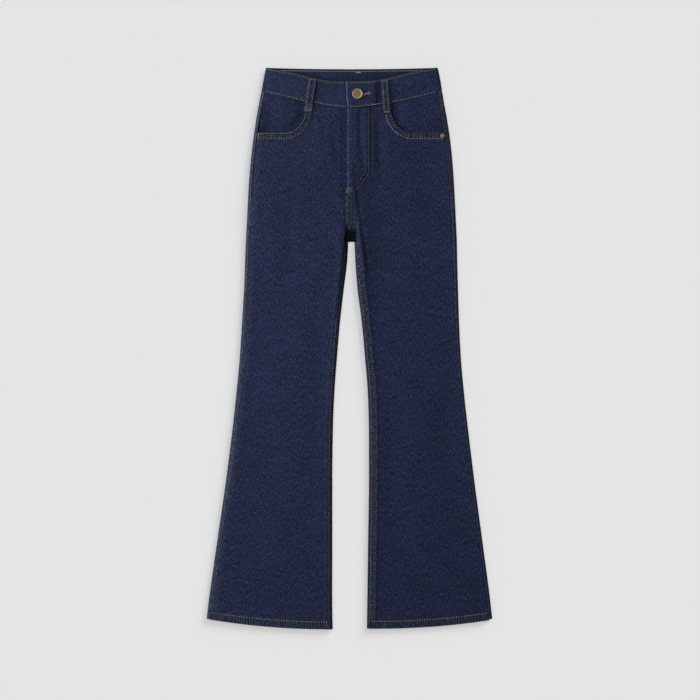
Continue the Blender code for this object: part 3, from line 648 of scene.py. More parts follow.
def set_point_value(data: bpy.types.Mesh, name: str, values: Array) -> None:
    """Store one number at each point of a mesh."""
    data.attributes.new(name, "FLOAT", "POINT").data.foreach_set("value", np.ravel(values).astype(np.float32))


def set_cloth_map(data: bpy.types.Mesh, places: Array) -> None:
    """Store each point's place on the cloth, in metres, as the mesh's cloth map.

    Args:
        data: The mesh.
        places: One place for each point.
    """
    corners = np.zeros(len(data.loops), np.int32)
    data.loops.foreach_get("vertex_index", corners)
    data.uv_layers.new(name=CLOTH_MAP).data.foreach_set("uv", places[corners].ravel())


def dress(piece: Piece, material: Material) -> None:
    """Give a piece its finish and its slot, let it ride on the garment, and report it.

    Args:
        piece: The piece.
        material: Its finish.
    """
    piece.data.materials.append(material)
    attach(piece, BODY)
    log.info("%s: %d faces", piece.name, len(piece.data.polygons))


def joined(parts: Sequence[tuple[Array, ...]]) -> list[Array]:
    """Stretches of cloth side by side: x, down, outer height, inner x and inner height."""
    return [np.concatenate([np.broadcast_to(part[i], part[1].shape) for part in parts], axis=1)
            for i in range(5)]


def upright_strip(x: Pair, down: Pair, lanes: int, rows: int) -> tuple[Array, Array, Pair]:
    """x and down of the points of an upright strip, and its width and length in metres."""
    points = np.meshgrid(np.linspace(*x, lanes), np.linspace(*down, rows))
    return *points, ((x[1] - x[0]) * MM, (down[1] - down[0]) * MM)


def select_facing(piece: Piece, direction: Triple) -> None:
    """Select only the faces of a piece in edit mode that look in one direction.

    Args:
        piece: The piece.
        direction: Where the faces look.
    """
    bpy.ops.mesh.select_all(action="DESELECT")
    mesh = bmesh.from_edit_mesh(piece.data)
    for face in mesh.faces:
        face.select = face.normal.dot(Vector(direction)) > 0.9
    bmesh.update_edit_mesh(piece.data)


def draw_out(shift: Triple, scale: Triple) -> None:
    """Extrude the selected faces and scale their new end."""
    bpy.ops.mesh.extrude_region_move(TRANSFORM_OT_translate={"value": shift})
    bpy.ops.transform.resize(value=scale)


def taken_apart(piece: Piece) -> tuple[Array, list[tuple[int, ...]]]:
    """Points and faces of a modelled shape, which is then removed.

    Args:
        piece: The shape.

    Returns:
        Its points and its faces.
    """
    points = np.array([vertex.co[:] for vertex in piece.data.vertices])
    faces = [tuple(face.vertices) for face in piece.data.polygons]
    bpy.data.objects.remove(piece)
    return points, faces


def bevel_edges(piece: Piece, width: float, segments: int, **limits: object) -> None:
    """Round a modelled piece's edges.

    Args:
        piece: The piece, which is the active object.
        width: Width of the rounding in millimetres.
        segments: Faces across it.
        limits: Other settings of the bevel.
    """
    bevel = piece.modifiers.new("edges", "BEVEL")
    for setting, value in {"width": width * MM, "segments": segments, **limits}.items():
        setattr(bevel, setting, value)
    bpy.ops.object.modifier_apply(modifier=bevel.name)


@dataclass
class Cloth:
    """A grid of cloth that is closed into a thin wall with rounded edges."""

    name: str
    x: Array
    down: Array
    outer: Array
    inner: Array
    inner_x: Array | None = None
    cells: Array | None = None
    # wear: how far the indigo has rubbed off; below 0, painted shade on the cloth
    wear_and_shade: Array | float = 0.0
    inner_wear_and_shade: Array | float | None = None
    roping: Array | float = 0.0
    across: Array | None = None     # the cloth's own measure across the grain, in millimetres
    rim: float = 0.7                # radius of the rounding at the grid's four sides
    rounded: tuple[bool, bool, bool, bool] = (True, True, True, True)  # top, bottom, first, last lane

    def edge_distance(self) -> Array:
        """Distance of each point from the nearest side of the grid that is rounded.

        Returns:
            The distances in millimetres.
        """
        points = np.stack(np.broadcast_arrays(self.x, self.down, self.outer))
        far = np.full(self.x.shape, FAR)
        sides = (points[:, :1], points[:, -1:], points[:, :, :1], points[:, :, -1:])
        for on, side in zip(self.rounded, sides):
            if on:
                far = np.minimum(far, np.sqrt(np.sum((points - side) ** 2, axis=0)))
        return far

    def build(self) -> Piece:
        """Close the grid into a wall.

        Returns:
            The piece, with its cloth map, its wear and painted shade values, and its roping values.
        """
        rows, columns = self.x.shape
        inner_x = self.x if self.inner_x is None else self.inner_x
        cells = np.ones((rows - 1, columns - 1), bool) if self.cells is None else self.cells
        drop = CUT.round_off(self.edge_distance(), self.rim)
        lean = np.hypot(self.x - inner_x, self.outer - self.inner)
        lean_x, lean_z = (self.x - inner_x) / lean, (self.outer - self.inner) / lean
        points = np.concatenate((laid(self.x - drop * lean_x, self.down, self.outer - drop * lean_z),
                                 laid(inner_x + drop * lean_x, self.down, self.inner + drop * lean_z)))
        number = np.arange(rows * columns).reshape(rows, columns)
        row, lane = np.nonzero(cells)
        face = np.stack([number[row, lane], number[row + 1, lane], number[row + 1, lane + 1],
                         number[row, lane + 1]], axis=1)
        back = face[:, ::-1] + rows * columns
        padded = np.pad(cells, 1)
        edges = []
        for side, (rows_on, lanes_on) in enumerate(((0, -1), (1, 0), (0, 1), (-1, 0))):
            open_side = ~padded[row + 1 + rows_on, lane + 1 + lanes_on]
            a, b = face[open_side, side], face[open_side, (side + 1) % 4]
            edges.append(np.stack([b, a, a + rows * columns, b + rows * columns], axis=1))
        faces = np.concatenate([face, back, *edges])
        a, b, c, d = (points[faces[:, i]] for i in range(4))
        if np.sum(a * (np.cross(b, c) + np.cross(c, d))) < 0.0:
            faces = faces[:, ::-1]
        used, index = np.unique(faces, return_inverse=True)
        faces = index.reshape(faces.shape)
        across = self.x if self.across is None else self.across
        places = np.stack([np.ravel(across), np.ravel(self.down)], axis=1) * MM
        piece = new_piece(self.name, points[used], faces)
        data = piece.data
        set_cloth_map(data, np.tile(places, (2, 1))[used])
        inner_wear_and_shade = self.wear_and_shade if self.inner_wear_and_shade is None else self.inner_wear_and_shade
        for name, *values in ((WEAR_AND_SHADE, self.wear_and_shade, inner_wear_and_shade), (ROPING, self.roping, self.roping)):
            both = np.concatenate([np.ravel(np.broadcast_to(v, self.x.shape)) for v in values])
            set_point_value(data, name, both[used])
        data.shade_smooth()
        data.set_sharp_from_angle(angle=math.radians(55.0))
        return piece

    def area(self) -> float:
        """Area of the outer face in square metres.

        Returns:
            The area.
        """
        p = laid(self.x, self.down, self.outer).reshape(*self.x.shape, 3)
        one = np.cross(p[1:, :-1] - p[:-1, :-1], p[:-1, 1:] - p[:-1, :-1])
        two = np.cross(p[1:, :-1] - p[1:, 1:], p[:-1, 1:] - p[1:, 1:])
        size = (np.linalg.norm(one, axis=-1) + np.linalg.norm(two, axis=-1)) / 2.0
        return float(size.sum() if self.cells is None else size[self.cells].sum())


# ---- Finishes ----
class Socket:
    """A shader value that adds Math nodes when it is used in an expression."""

    def __init__(self, graph: "Graph", link: bpy.types.NodeSocket) -> None:
        """Wrap an output socket of the graph."""
        self.graph, self.link = graph, link

    def maths(self, operation: str, *values: "Socket | float") -> "Socket":
        """Put values through a Math node."""
        return self.graph.node("Math", {"operation": operation}, dict(enumerate(values)))[0]

    def __add__(self, other: "Socket | float") -> "Socket":
        """self + other."""
        return self.maths("ADD", self, other)

    def __sub__(self, other: "Socket | float") -> "Socket":
        """self - other."""
        return self.maths("SUBTRACT", self, other)

    def __rsub__(self, other: float) -> "Socket":
        """other - self."""
        return self.maths("SUBTRACT", other, self)

    def __mul__(self, other: "Socket | float") -> "Socket":
        """self * other."""
        return self.maths("MULTIPLY", self, other)

    __radd__, __rmul__ = __add__, __mul__

    def size(self) -> "Socket":
        """The value without its sign."""
        return self.maths("ABSOLUTE", self)

    def at_least(self, low: float) -> "Socket":
        """The value, or the limit where it is lower."""
        return self.maths("MAXIMUM", self, low)

    def clamp(self) -> "Socket":
        """The value held between 0 and 1."""
        return self.graph.node("Clamp", {}, {0: self})[0]

    def between(self, low: float, high: float) -> "Socket":
        """Smooth step from 0 at low to 1 at high."""
        return self.graph.node("MapRange", {"interpolation_type": "SMOOTHSTEP"},
                               {"Value": self, "From Min": low, "From Max": high})[0]


class Graph:
    """The node tree of one material."""

    def __init__(self, name: str) -> None:
        """Start a material with an empty Principled shader.

        Args:
            name: Name of the material.
        """
        self.material = bpy.data.materials.new(name)
        self.material.use_nodes = True
        self.tree = self.material.node_tree
        self.shader = self.tree.nodes["Principled BSDF"]

    def node(self, kind: str, settings: dict, sockets: dict) -> list[Socket]:
        """Add a node.

        Args:
            kind: Its type without the "ShaderNode" prefix.
            settings: Its own settings, set first.
            sockets: Values or links of its inputs, by name or number.

        Returns:
            Its outputs.
        """
        node = self.tree.nodes.new("ShaderNode" + kind)
        for key, value in settings.items():
            setattr(node, key, value)
        for key, value in sockets.items():
            self.feed(node.inputs[key], value)
        return [Socket(self, output) for output in node.outputs if output.enabled]

    def feed(self, socket: bpy.types.NodeSocket, value: object) -> None:
        """Link or set one input."""
        if isinstance(value, Socket):
            self.tree.links.new(value.link, socket)
        else:
            socket.default_value = value

    def cloth_map(self) -> Socket:
        """The piece's own cloth map, in metres."""
        return self.node("UVMap", {"uv_map": CLOTH_MAP}, {})[0]

    def point_value(self, name: str) -> Socket:
        """A number stored at the piece's points."""
        return self.node("Attribute", {"attribute_type": "GEOMETRY", "attribute_name": name}, {})[2]

    def place(self, source: Socket, scale: Triple, turn: float = 0.0) -> Socket:
        """Scale and turn a pattern's coordinates."""
        return self.node("Mapping", {}, {"Vector": source, "Scale": scale, "Rotation": (0.0, 0.0, turn)})[0]

    def noise(self, at: Socket, scale: float, detail: float = 2.0, roughness: float = 0.5) -> Socket:
        """Noise around 0.5."""
        return self.node("TexNoise", {}, {"Vector": at, "Scale": scale, "Detail": detail,
                                          "Roughness": roughness})[0]

    def strokes(self, at: Socket, scale: Pair, detail: float, roughness: float = 0.6,
                turn: float = 0.0) -> Socket:
        """Noise around 0 in strokes, from how many there are in a metre across and along."""
        return self.noise(self.place(at, (*scale, 1.0), turn), 1.0, detail, roughness) - 0.5

    def bands(self, at: Socket, apart: float, direction: str = "X", **shape: float) -> Socket:
        """Parallel bands from 0 to 1 across an axis, a distance in metres apart, with the wave's inputs."""
        return self.node("TexWave", {"wave_type": "BANDS", "bands_direction": direction},
                         {"Vector": at, "Scale": WAVE / apart}
                         | {key.replace("_", " "): value for key, value in shape.items()})[1]

    def mix(self, factor: Socket | float, one: object, two: object) -> Socket:
        """Mix two colours.

        Args:
            factor: Share of the second colour.
            one: The first colour.
            two: The second colour.

        Returns:
            The mixed colour.
        """
        node = self.tree.nodes.new("ShaderNodeMix")
        node.data_type = "RGBA"
        for key, value in ((0, factor), (6, one), (7, two)):
            self.feed(node.inputs[key], (*value, 1.0) if isinstance(value, tuple) else value)
        return Socket(self, node.outputs[2])

    def tint(self, colour: object, strength: Socket) -> Socket:
        """A colour made lighter or darker by a number around 1.

        Args:
            colour: The colour.
            strength: The number.

        Returns:
            The new colour.
        """
        node = self.tree.nodes.new("ShaderNodeVectorMath")
        node.operation = "SCALE"
        self.feed(node.inputs[0], colour)
        self.feed(node.inputs["Scale"], strength)
        return Socket(self, node.outputs[0])

    def bump(self, height: Socket, distance: float, strength: float = 1.0) -> Socket:
        """A normal from a height in the given unit of metres."""
        return self.node("Bump", {}, {"Height": height, "Distance": distance, "Strength": strength})[0]

    def finish(self, **inputs: object) -> Material:
        """Set the shader's inputs, with spaces in their names as underscores."""
        for key, value in inputs.items():
            self.feed(self.shader.inputs[key.replace("_", " ")], value)
        return self.material


@dataclass(frozen=True)
class Denim:
    """Dark indigo warp over a pale weft, which shows as flecks and where the indigo has rubbed off."""

    name: str = "denim"
    violet: Triple = (0.0109, 0.0139, 0.0525)
    green: Triple = (0.0084, 0.0156, 0.0507)
    doubled: Triple = (0.0122, 0.0155, 0.0400)  # indigo where cloth is doubled and sewn
    faded: Triple = (0.090, 0.110, 0.156)
    wale: float = 0.0011                        # distance between the twill's diagonal ribs
    turn: float = math.radians(62.0)
    fleck: float = 0.48                         # how strongly the yarns differ
    mottled: float = 2.4511                     # how strongly patches of a few millimetres differ
    flecked: float = 1.2788                     # the same for patches of one or two millimetres
    linted: float = 1.7051                      # how much paler these show the weft
    bare: float = -0.036                        # how much of the weft shows all over
    rib: float = 0.0050                         # distance between puckers
    ribbed: float = 2.2                         # how strongly puckers darken and lighten the indigo
    cloud: float = 0.68                         # how strongly broad patches differ
    speck: float = 0.34                         # how pale the pale specks are
    gloss: float = 0.12

    def puckers(self, graph: Graph, cloth: Socket, direction: str, scale: Pair) -> Socket:
        """Puckers around 0 that stand across one direction: even bands with uneven strokes between."""
        waves = graph.bands(cloth, self.rib, direction, Distortion=3.5, Detail=1.0, Detail_Scale=0.35)
        return (waves - 0.5) * 0.55 + graph.strokes(cloth, scale, 1.0, 0.5) * 1.2

    def make(self) -> Material:
        """Build the material.

        Returns:
            Denim that follows the cloth map.
        """
        graph = Graph(self.name)
        cloth = graph.cloth_map()
        wales = graph.bands(graph.place(cloth, (1.0, 1.0, 1.0), self.turn), self.wale, Distortion=0.6,
                            Detail=1.0) - 0.5
        warp = graph.strokes(cloth, (1500.0, 160.0), 2.0)
        weft = graph.strokes(cloth, (170.0, 1300.0), 2.0)
        slub = graph.strokes(cloth, (520.0, 60.0), 3.0)
        patches = graph.strokes(cloth, (500.0, 115.0), 2.0, 0.65, 0.10)
        crumbs = graph.strokes(cloth, (950.0, 210.0), 1.0, turn=-0.06)
        hue = graph.strokes(cloth, (70.0, 50.0), 1.0, turn=0.9)
        cloud = graph.noise(cloth, 22.0, 3.0, 0.55) - 0.5
        grain = graph.noise(cloth, 620.0, 2.0, 0.65) - 0.5
        rope, wear_and_shade = graph.point_value(ROPING), graph.point_value(WEAR_AND_SHADE)
        # Painted shade: where the wear value is below 0, deep darkens the weave, the lint and the specks
        deep = (wear_and_shade + 1.0).clamp()
        pale = graph.node("TexVoronoi", {"voronoi_dimensions": "2D", "feature": "F1"},
                          {"Vector": graph.place(cloth, (360.0, 520.0, 1.0), 0.4), "Scale": 1.0})[0]
        specks = (1.0 - pale.between(0.10, 0.42)) * (patches + 0.5).between(0.45, 0.68) * self.speck * deep
        puckers = (rope.at_least(0.0) * self.puckers(graph, cloth, "X", (400.0, 45.0))
                   + (rope * -1.0).at_least(0.0) * self.puckers(graph, cloth, "Y", (45.0, 400.0)))
        yarns = (warp + weft * 0.5 + slub * 1.5 + grain) * self.fleck
        mottling = patches * self.mottled + crumbs * self.flecked
        tone = (1.0 + yarns + mottling + cloud * self.cloud + wales * 0.34
                + puckers * self.ribbed).at_least(0.2) * deep
        ragged = ((patches + crumbs) * 3.2 + 0.45).clamp()
        lint = (self.bare + (crumbs + warp * 0.5 + grain * 0.3) * self.linted).at_least(0.0) * deep
        rubbed = (wear_and_shade * (0.12 + ragged * 0.88)).at_least(0.0) + lint + puckers * deep * 0.18
        dyed = graph.mix((hue * 2.4 + 0.55).clamp(), self.violet, self.green)
        dyed = graph.mix(rope.size().clamp(), dyed, self.doubled)
        colour = graph.mix((rubbed.at_least(0.0) + specks).clamp(), graph.tint(dyed, tone), self.faded)
        relief = wales * 0.55 + grain * 0.5 + warp * 0.5 + puckers * 5.0
        return graph.finish(Base_Color=colour, Roughness=0.82 + grain * 0.2,
                            Normal=graph.bump(relief, 0.00022, 0.8), Specular_IOR_Level=self.gloss,
                            Sheen_Weight=0.04, Sheen_Roughness=0.5)


@dataclass(frozen=True)
class Thread:
    """Twisted topstitching thread: brown, cream or, past cream, orange; below brown, darkened to the
    near-black of a needle hole's painted shadow.
    """

    name: str = "thread"
    orange: Triple = (0.30, 0.125, 0.040)
    cream: Triple = (0.300, 0.284, 0.250)
    dark: Triple = (0.044, 0.047, 0.054)
    hole_shadow: float = 0.05      # how much light a needle hole's painted shadow keeps
    ply: float = 0.0011     # length of one twist

    def make(self) -> Material:
        """Build the material.

        Returns:
            Thread whose twist follows the cloth map, which holds the length along each stitch.
        """
        graph = Graph(self.name)
        thread = graph.cloth_map()
        twist = graph.bands(graph.place(thread, (1.0, 1.0, 1.0), 0.7), self.ply, Distortion=0.4)
        fluff = graph.noise(thread, 900.0, 2.0)
        shade = graph.point_value(WEAR_AND_SHADE)
        tone = 0.75 + twist * 0.35 + (fluff - 0.5) * 0.5
        cream = graph.mix(shade.clamp(), self.dark, self.cream)
        # Below 0 the shade value paints the thread darker, down to a needle hole's painted shadow.
        lit = (shade + 1.0).clamp() * (1.0 - self.hole_shadow) + self.hole_shadow
        colour = graph.tint(graph.mix((shade - 1.0).clamp(), cream, self.orange), tone * lit)
        return graph.finish(Base_Color=colour, Roughness=0.62 + (fluff - 0.5) * 0.2,
                            Normal=graph.bump(twist, 0.00012, 0.8), Specular_IOR_Level=0.3,
                            Sheen_Weight=0.1)


@dataclass(frozen=True)
class WarmMetal:
    """Brown plated metal, painted dark as shadow low down, darker round the middle and rubbed to a pale
    copper outside of it.
    """

    name: str = "button_metal"
    plated: Triple = (0.195, 0.108, 0.060)
    rubbed: Triple = (0.300, 0.216, 0.148)
    # colour of the painted shadow low on the side
    painted_rim_shadow: Triple = (0.045, 0.026, 0.016)
    at: Triple = (0.0155, 0.4807, 0.0128)
    inner: float = 0.0056   # radius where the rubbed ring starts
    low: float = 0.01155    # height below which the side is painted dark as shadow

    def make(self) -> Material:
        """Build the material.

        Returns:
            Metal on object coordinates.
        """
        graph = Graph(self.name)
        at = graph.node("TexCoord", {}, {})[3]
        height = graph.node("SeparateXYZ", {}, {0: at})[2]
        radius = graph.node("VectorMath", {"operation": "DISTANCE"}, {0: at, 1: self.at})[0]
        brushed = graph.noise(at, 900.0, 3.0, 0.6)
        tarnish = graph.noise(at, 420.0, 3.0, 0.6)
        ring = radius.between(self.inner * 0.9, self.inner * 1.1)
        worn = (ring * 0.8 + (tarnish - 0.5) * 1.6 + 0.1).clamp()
        rubbed = graph.tint(graph.mix(worn, self.plated, self.rubbed), 0.85 + tarnish * 0.3)
        # Painted shadow on the side below the low height.
        colour = graph.mix(height.between(self.low - 0.0004, self.low), self.painted_rim_shadow, rubbed)
        return graph.finish(Base_Color=colour, Metallic=0.4, Roughness=0.62 + (brushed - 0.5) * 0.25
                            + (tarnish - 0.5) * 0.15, Normal=graph.bump(brushed, 0.00004, 0.5))


@dataclass(frozen=True)
class WovenTape:
    """Dark ribbed cotton tape."""

    name: str = "zip_tape"
    colour: Triple = (0.012, 0.015, 0.034)
    rib: float = 0.0012

    def make(self) -> Material:
        """Build the material.

        Returns:
            Tape with fine cross ribs on the cloth map.
        """
        graph = Graph(self.name)
        tape = graph.cloth_map()
        ribs = graph.bands(tape, self.rib, "Y", Distortion=0.3)
        fluff = graph.noise(tape, 700.0, 2.0)
        return graph.finish(Base_Color=graph.tint(self.colour, 0.7 + ribs * 0.4 + fluff * 0.4),
                            Roughness=0.85, Normal=graph.bump(ribs, 0.0001, 0.7), Specular_IOR_Level=0.2)


@dataclass(frozen=True)
class PaleFloor:
    """Matte pale paper."""

    name: str = "floor"
    colour: Triple = (0.80, 0.80, 0.80)

    def make(self) -> Material:
        """Build the material.

        Returns:
            Paper with hardly visible fibres.
        """
        graph = Graph(self.name)
        at = graph.node("TexCoord", {}, {})[3]
        fibres = graph.noise(at, 240.0, 3.0)
        return graph.finish(Base_Color=graph.tint(self.colour, 0.996 + fibres * 0.008), Roughness=0.95,
                            Specular_IOR_Level=0.0)


@dataclass
class Finishes:
    """One of each material."""

    denim: Material = field(default_factory=lambda: Denim().make())
    thread: Material = field(default_factory=lambda: Thread().make())
    button_metal: Material = field(default_factory=lambda: WarmMetal().make())
    rivet_metal: Material = field(
        default_factory=lambda: WarmMetal("rivet_metal", at=(0.1756, 0.4017, 0.0085), inner=0.0019,
                                          low=0.0).make())
    zip_tape: Material = field(default_factory=lambda: WovenTape().make())


# ---- Sewing ----
STITCH_PITCH = 4.7
STITCH_LENGTH = 2.1
THREAD_WIDTH = 1.7
SLANT = 0.26            # how far each end of a stitch lies to the side of its row
PAINTED_HOLE_SHADOW = -1.0             # the shade value of near-black threads laid as a needle hole's painted shadow
SHADE_SPREAD = 0.22     # how far the stitches of one row differ in shade
PRESSED = 0.00002       # lowest point of a thread in metres, pressed flat by the surface under it


def stitch_shape() -> tuple[Array, Array]:
    """One stitch, 1 long along x and 1 wide, modelled from a primitive.

    Returns:
        Its points and its faces.
    """
    deselect()
    bpy.ops.mesh.primitive_cylinder_add(vertices=6, radius=0.5, depth=0.6, end_fill_type="NGON",
                                        rotation=(0.0, math.pi / 2.0, 0.0))
    piece = bpy.context.object
    bpy.ops.object.transform_apply(location=False, rotation=True, scale=False)
    bpy.ops.object.mode_set(mode="EDIT")
    for sign in (-1.0, 1.0):
        select_facing(piece, (sign, 0.0, 0.0))
        draw_out((0.2 * sign, 0.0, -0.22), (1.0, 0.55, 0.55))
    bpy.ops.object.mode_set(mode="OBJECT")
    return taken_apart(piece)


class Sewing:
    """All the stitches of one part of the garment, joined into one mesh."""

    def __init__(self, name: str, seed: int) -> None:
        """Start with no stitches.

        Args:
            name: Name of the piece.
            seed: Seed of its random draws.
        """
        self.name = name
        self.draw = np.random.default_rng(seed)
        self.middles, self.heads, self.ups, self.sizes, self.shades = [], [], [], [], []

    def stitches(self, one: Array, two: Array, width: float, shade: float, up: Vector) -> None:
        """Lay a stitch between each two points.

        Args:
            one: Where each stitch starts, in metres.
            two: Where it ends.
            width: Width of the thread in millimetres.
            shade: From a needle hole's painted shadow at -1 over brown at 0 and cream at 1 to orange at 2.
            up: Away from the cloth.
        """
        count = len(one)
        if not count:
            return
        along = two - one
        size = np.linalg.norm(along, axis=1, keepdims=True)
        head = along / size
        away = np.tile(np.array(up), (count, 1))
        away = away - head * np.sum(away * head, axis=1, keepdims=True)
        away /= np.linalg.norm(away, axis=1, keepdims=True)
        self.middles.append((one + two) / 2.0)
        self.heads.append(head)
        self.ups.append(away)
        thick = np.full((count, 1), width * MM) * self.draw.uniform(0.9, 1.1, (count, 1))
        self.sizes.append(np.hstack([size, thick]))
        spread = SHADE_SPREAD if shade > PAINTED_HOLE_SHADOW else 0.0
        self.shades.append(np.clip(shade + self.draw.uniform(-spread, spread, count), PAINTED_HOLE_SHADOW, 2.0))

    def seam(self, x: Number, down: Number, height: HeightAt,
             pitch: float = STITCH_PITCH, length: float = STITCH_LENGTH, width: float = THREAD_WIDTH,
             shade: float = 0.7, lift: float = 0.12, up: float = 1.0, hole_shadows: bool = False) -> None:
        """Lay a row of slanting stitches along a line on the cloth.

        Args:
            x: The line's points.
            down: Their distance down.
            height: The cloth's height at any x and down.
            pitch: Distance from one stitch to the next.
            length: Length of a stitch.
            width: Width of the thread.
            shade: From a needle hole's painted shadow at -1 over brown at 0 and cream at 1 to orange at 2.
            lift: Height of the thread's middle over the cloth.
            up: 1 on a face that looks up, -1 on one that looks down.
            hole_shadows: Whether near-black threads are laid in the dents between the stitches as painted
                shadow.
        """
        x, down = together(x, down)
        run = run_along(x, down)
        count = int(run[-1] / pitch)
        if count < 1:
            return
        start = (run[-1] - count * pitch) / 2.0 + pitch / 2.0
        middle = start + pitch * np.arange(count) + self.draw.uniform(-0.12, 0.12, count)
        away = Vector((0.0, 0.0, up))
        # Between the stitches, near-black threads are laid as the needle holes' painted shadow.
        for between, half, tone in ((0.0, length / 2.0, shade), (pitch / 2.0, (pitch - length) / 2.2, PAINTED_HOLE_SHADOW)):
            if between and not hole_shadows:
                continue
            ends = []
            for sign in (-1.0, 1.0):
                at = np.clip(middle + between + sign * half, 0.0, run[-1])
                px, pd = np.interp(at, run, x), np.interp(at, run, down)
                nx, nd = np.interp(at + 0.1, run, x) - px, np.interp(at + 0.1, run, down) - pd
                size = np.maximum(np.hypot(nx, nd), 1e-6)
                wander = self.draw.normal(0.0, 0.05, count) + (0.0 if between else sign * SLANT)
                px, pd = px - nd / size * wander, pd + nx / size * wander
                ends.append(laid(px, pd, height(px, pd) + (lift - 0.25 * bool(between)) * up))
            self.stitches(ends[0], ends[1], width, tone, away)

    def bar(self, x0: float, down0: float, x1: float, down1: float,
            height: HeightAt, across: float = 1.6, shade: float = 0.6,
            pitch: float = 0.42, width: float = 0.5, lift: float = 0.25, up: float = 1.0) -> None:
        """Lay a bartack: close stitches across a line.

        Args:
            x0: x of one end.
            down0: Its distance down.
            x1: x of the other end.
            down1: Its distance down.
            height: The cloth's height at any x and down.
            across: Length of each stitch.
            shade: From a needle hole's painted shadow at -1 over brown at 0 and cream at 1 to orange at 2.
            pitch: Distance from one stitch to the next.
            width: Width of the thread.
            lift: Height of the thread's middle over the cloth.
            up: 1 on a face that looks up, -1 on one that looks down.
        """
        size = math.hypot(x1 - x0, down1 - down0)
        share = np.linspace(0.0, 1.0, max(2, int(size / pitch)))
        away_x, away_down = -(down1 - down0) / size, (x1 - x0) / size
        x, down = x0 + (x1 - x0) * share, down0 + (down1 - down0) * share
        ends = []
        for sign in (-0.5, 0.5):
            px, pd = x + away_x * across * sign, down + away_down * across * sign
            ends.append(laid(px, pd, height(px, pd) + lift * up))
        self.stitches(ends[0], ends[1], width, shade, Vector((0.0, 0.0, up)))

    def build(self, finishes: Finishes) -> Piece:
        """Join the stitches.

        Args:
            finishes: The materials.

        Returns:
            The piece, which rides on the garment.
        """
        shape, faces = stitch_shape()
        middle, head, up = (np.concatenate(v)[:, None, :] for v in (self.middles, self.heads, self.ups))
        size = np.concatenate(self.sizes)[:, None, :]
        side = np.cross(up, head)
        points = (middle + head * shape[None, :, :1] * size[..., :1]
                  + side * shape[None, :, 1:2] * size[..., 1:] + up * shape[None, :, 2:] * size[..., 1:])
        points[..., 2] = np.maximum(points[..., 2], PRESSED)
        count = len(middle)
        offsets = np.arange(count)[:, None] * len(shape)
        every = [tuple(int(k) + offset for k in face) for offset in offsets[:, 0] for face in faces]
        piece = new_piece(self.name, points.reshape(-1, 3), every)
        data = piece.data
        set_point_value(data, WEAR_AND_SHADE, np.repeat(np.concatenate(self.shades), len(shape)))
        run = (shape[None, :, 0] * size[..., 0] + offsets * 0.0031).ravel()
        turn = np.tile(np.arctan2(shape[:, 2], shape[:, 1]) * 0.5 * THREAD_WIDTH * MM, count)
        set_cloth_map(data, np.stack([run, turn], axis=1))
        data.shade_smooth()
        dress(piece, finishes.thread)
        return piece


def dress_cloth(cloth: Cloth, finishes: Finishes, node: str, flat: Pair) -> Piece:
    """Build a sheet of denim in the place of its solid.

    Args:
        cloth: The sheet.
        finishes: The materials.
        node: The CAD node that it stands for.
        flat: Width and length of its cut in millimetres.

    Returns:
        The piece.
    """
    piece = cloth.build()
    dress(piece, finishes.denim)
    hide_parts(node)
    width, length = (size * MM for size in flat)
    min(cloth.area(), width * length)
    return piece


def pucker(along: Array, size: float, seed: int) -> Array:
    """Uneven ripples along a sewn edge, from -1 to 1."""
    return Lumps(size, seed)(np.zeros(np.shape(along)), along)


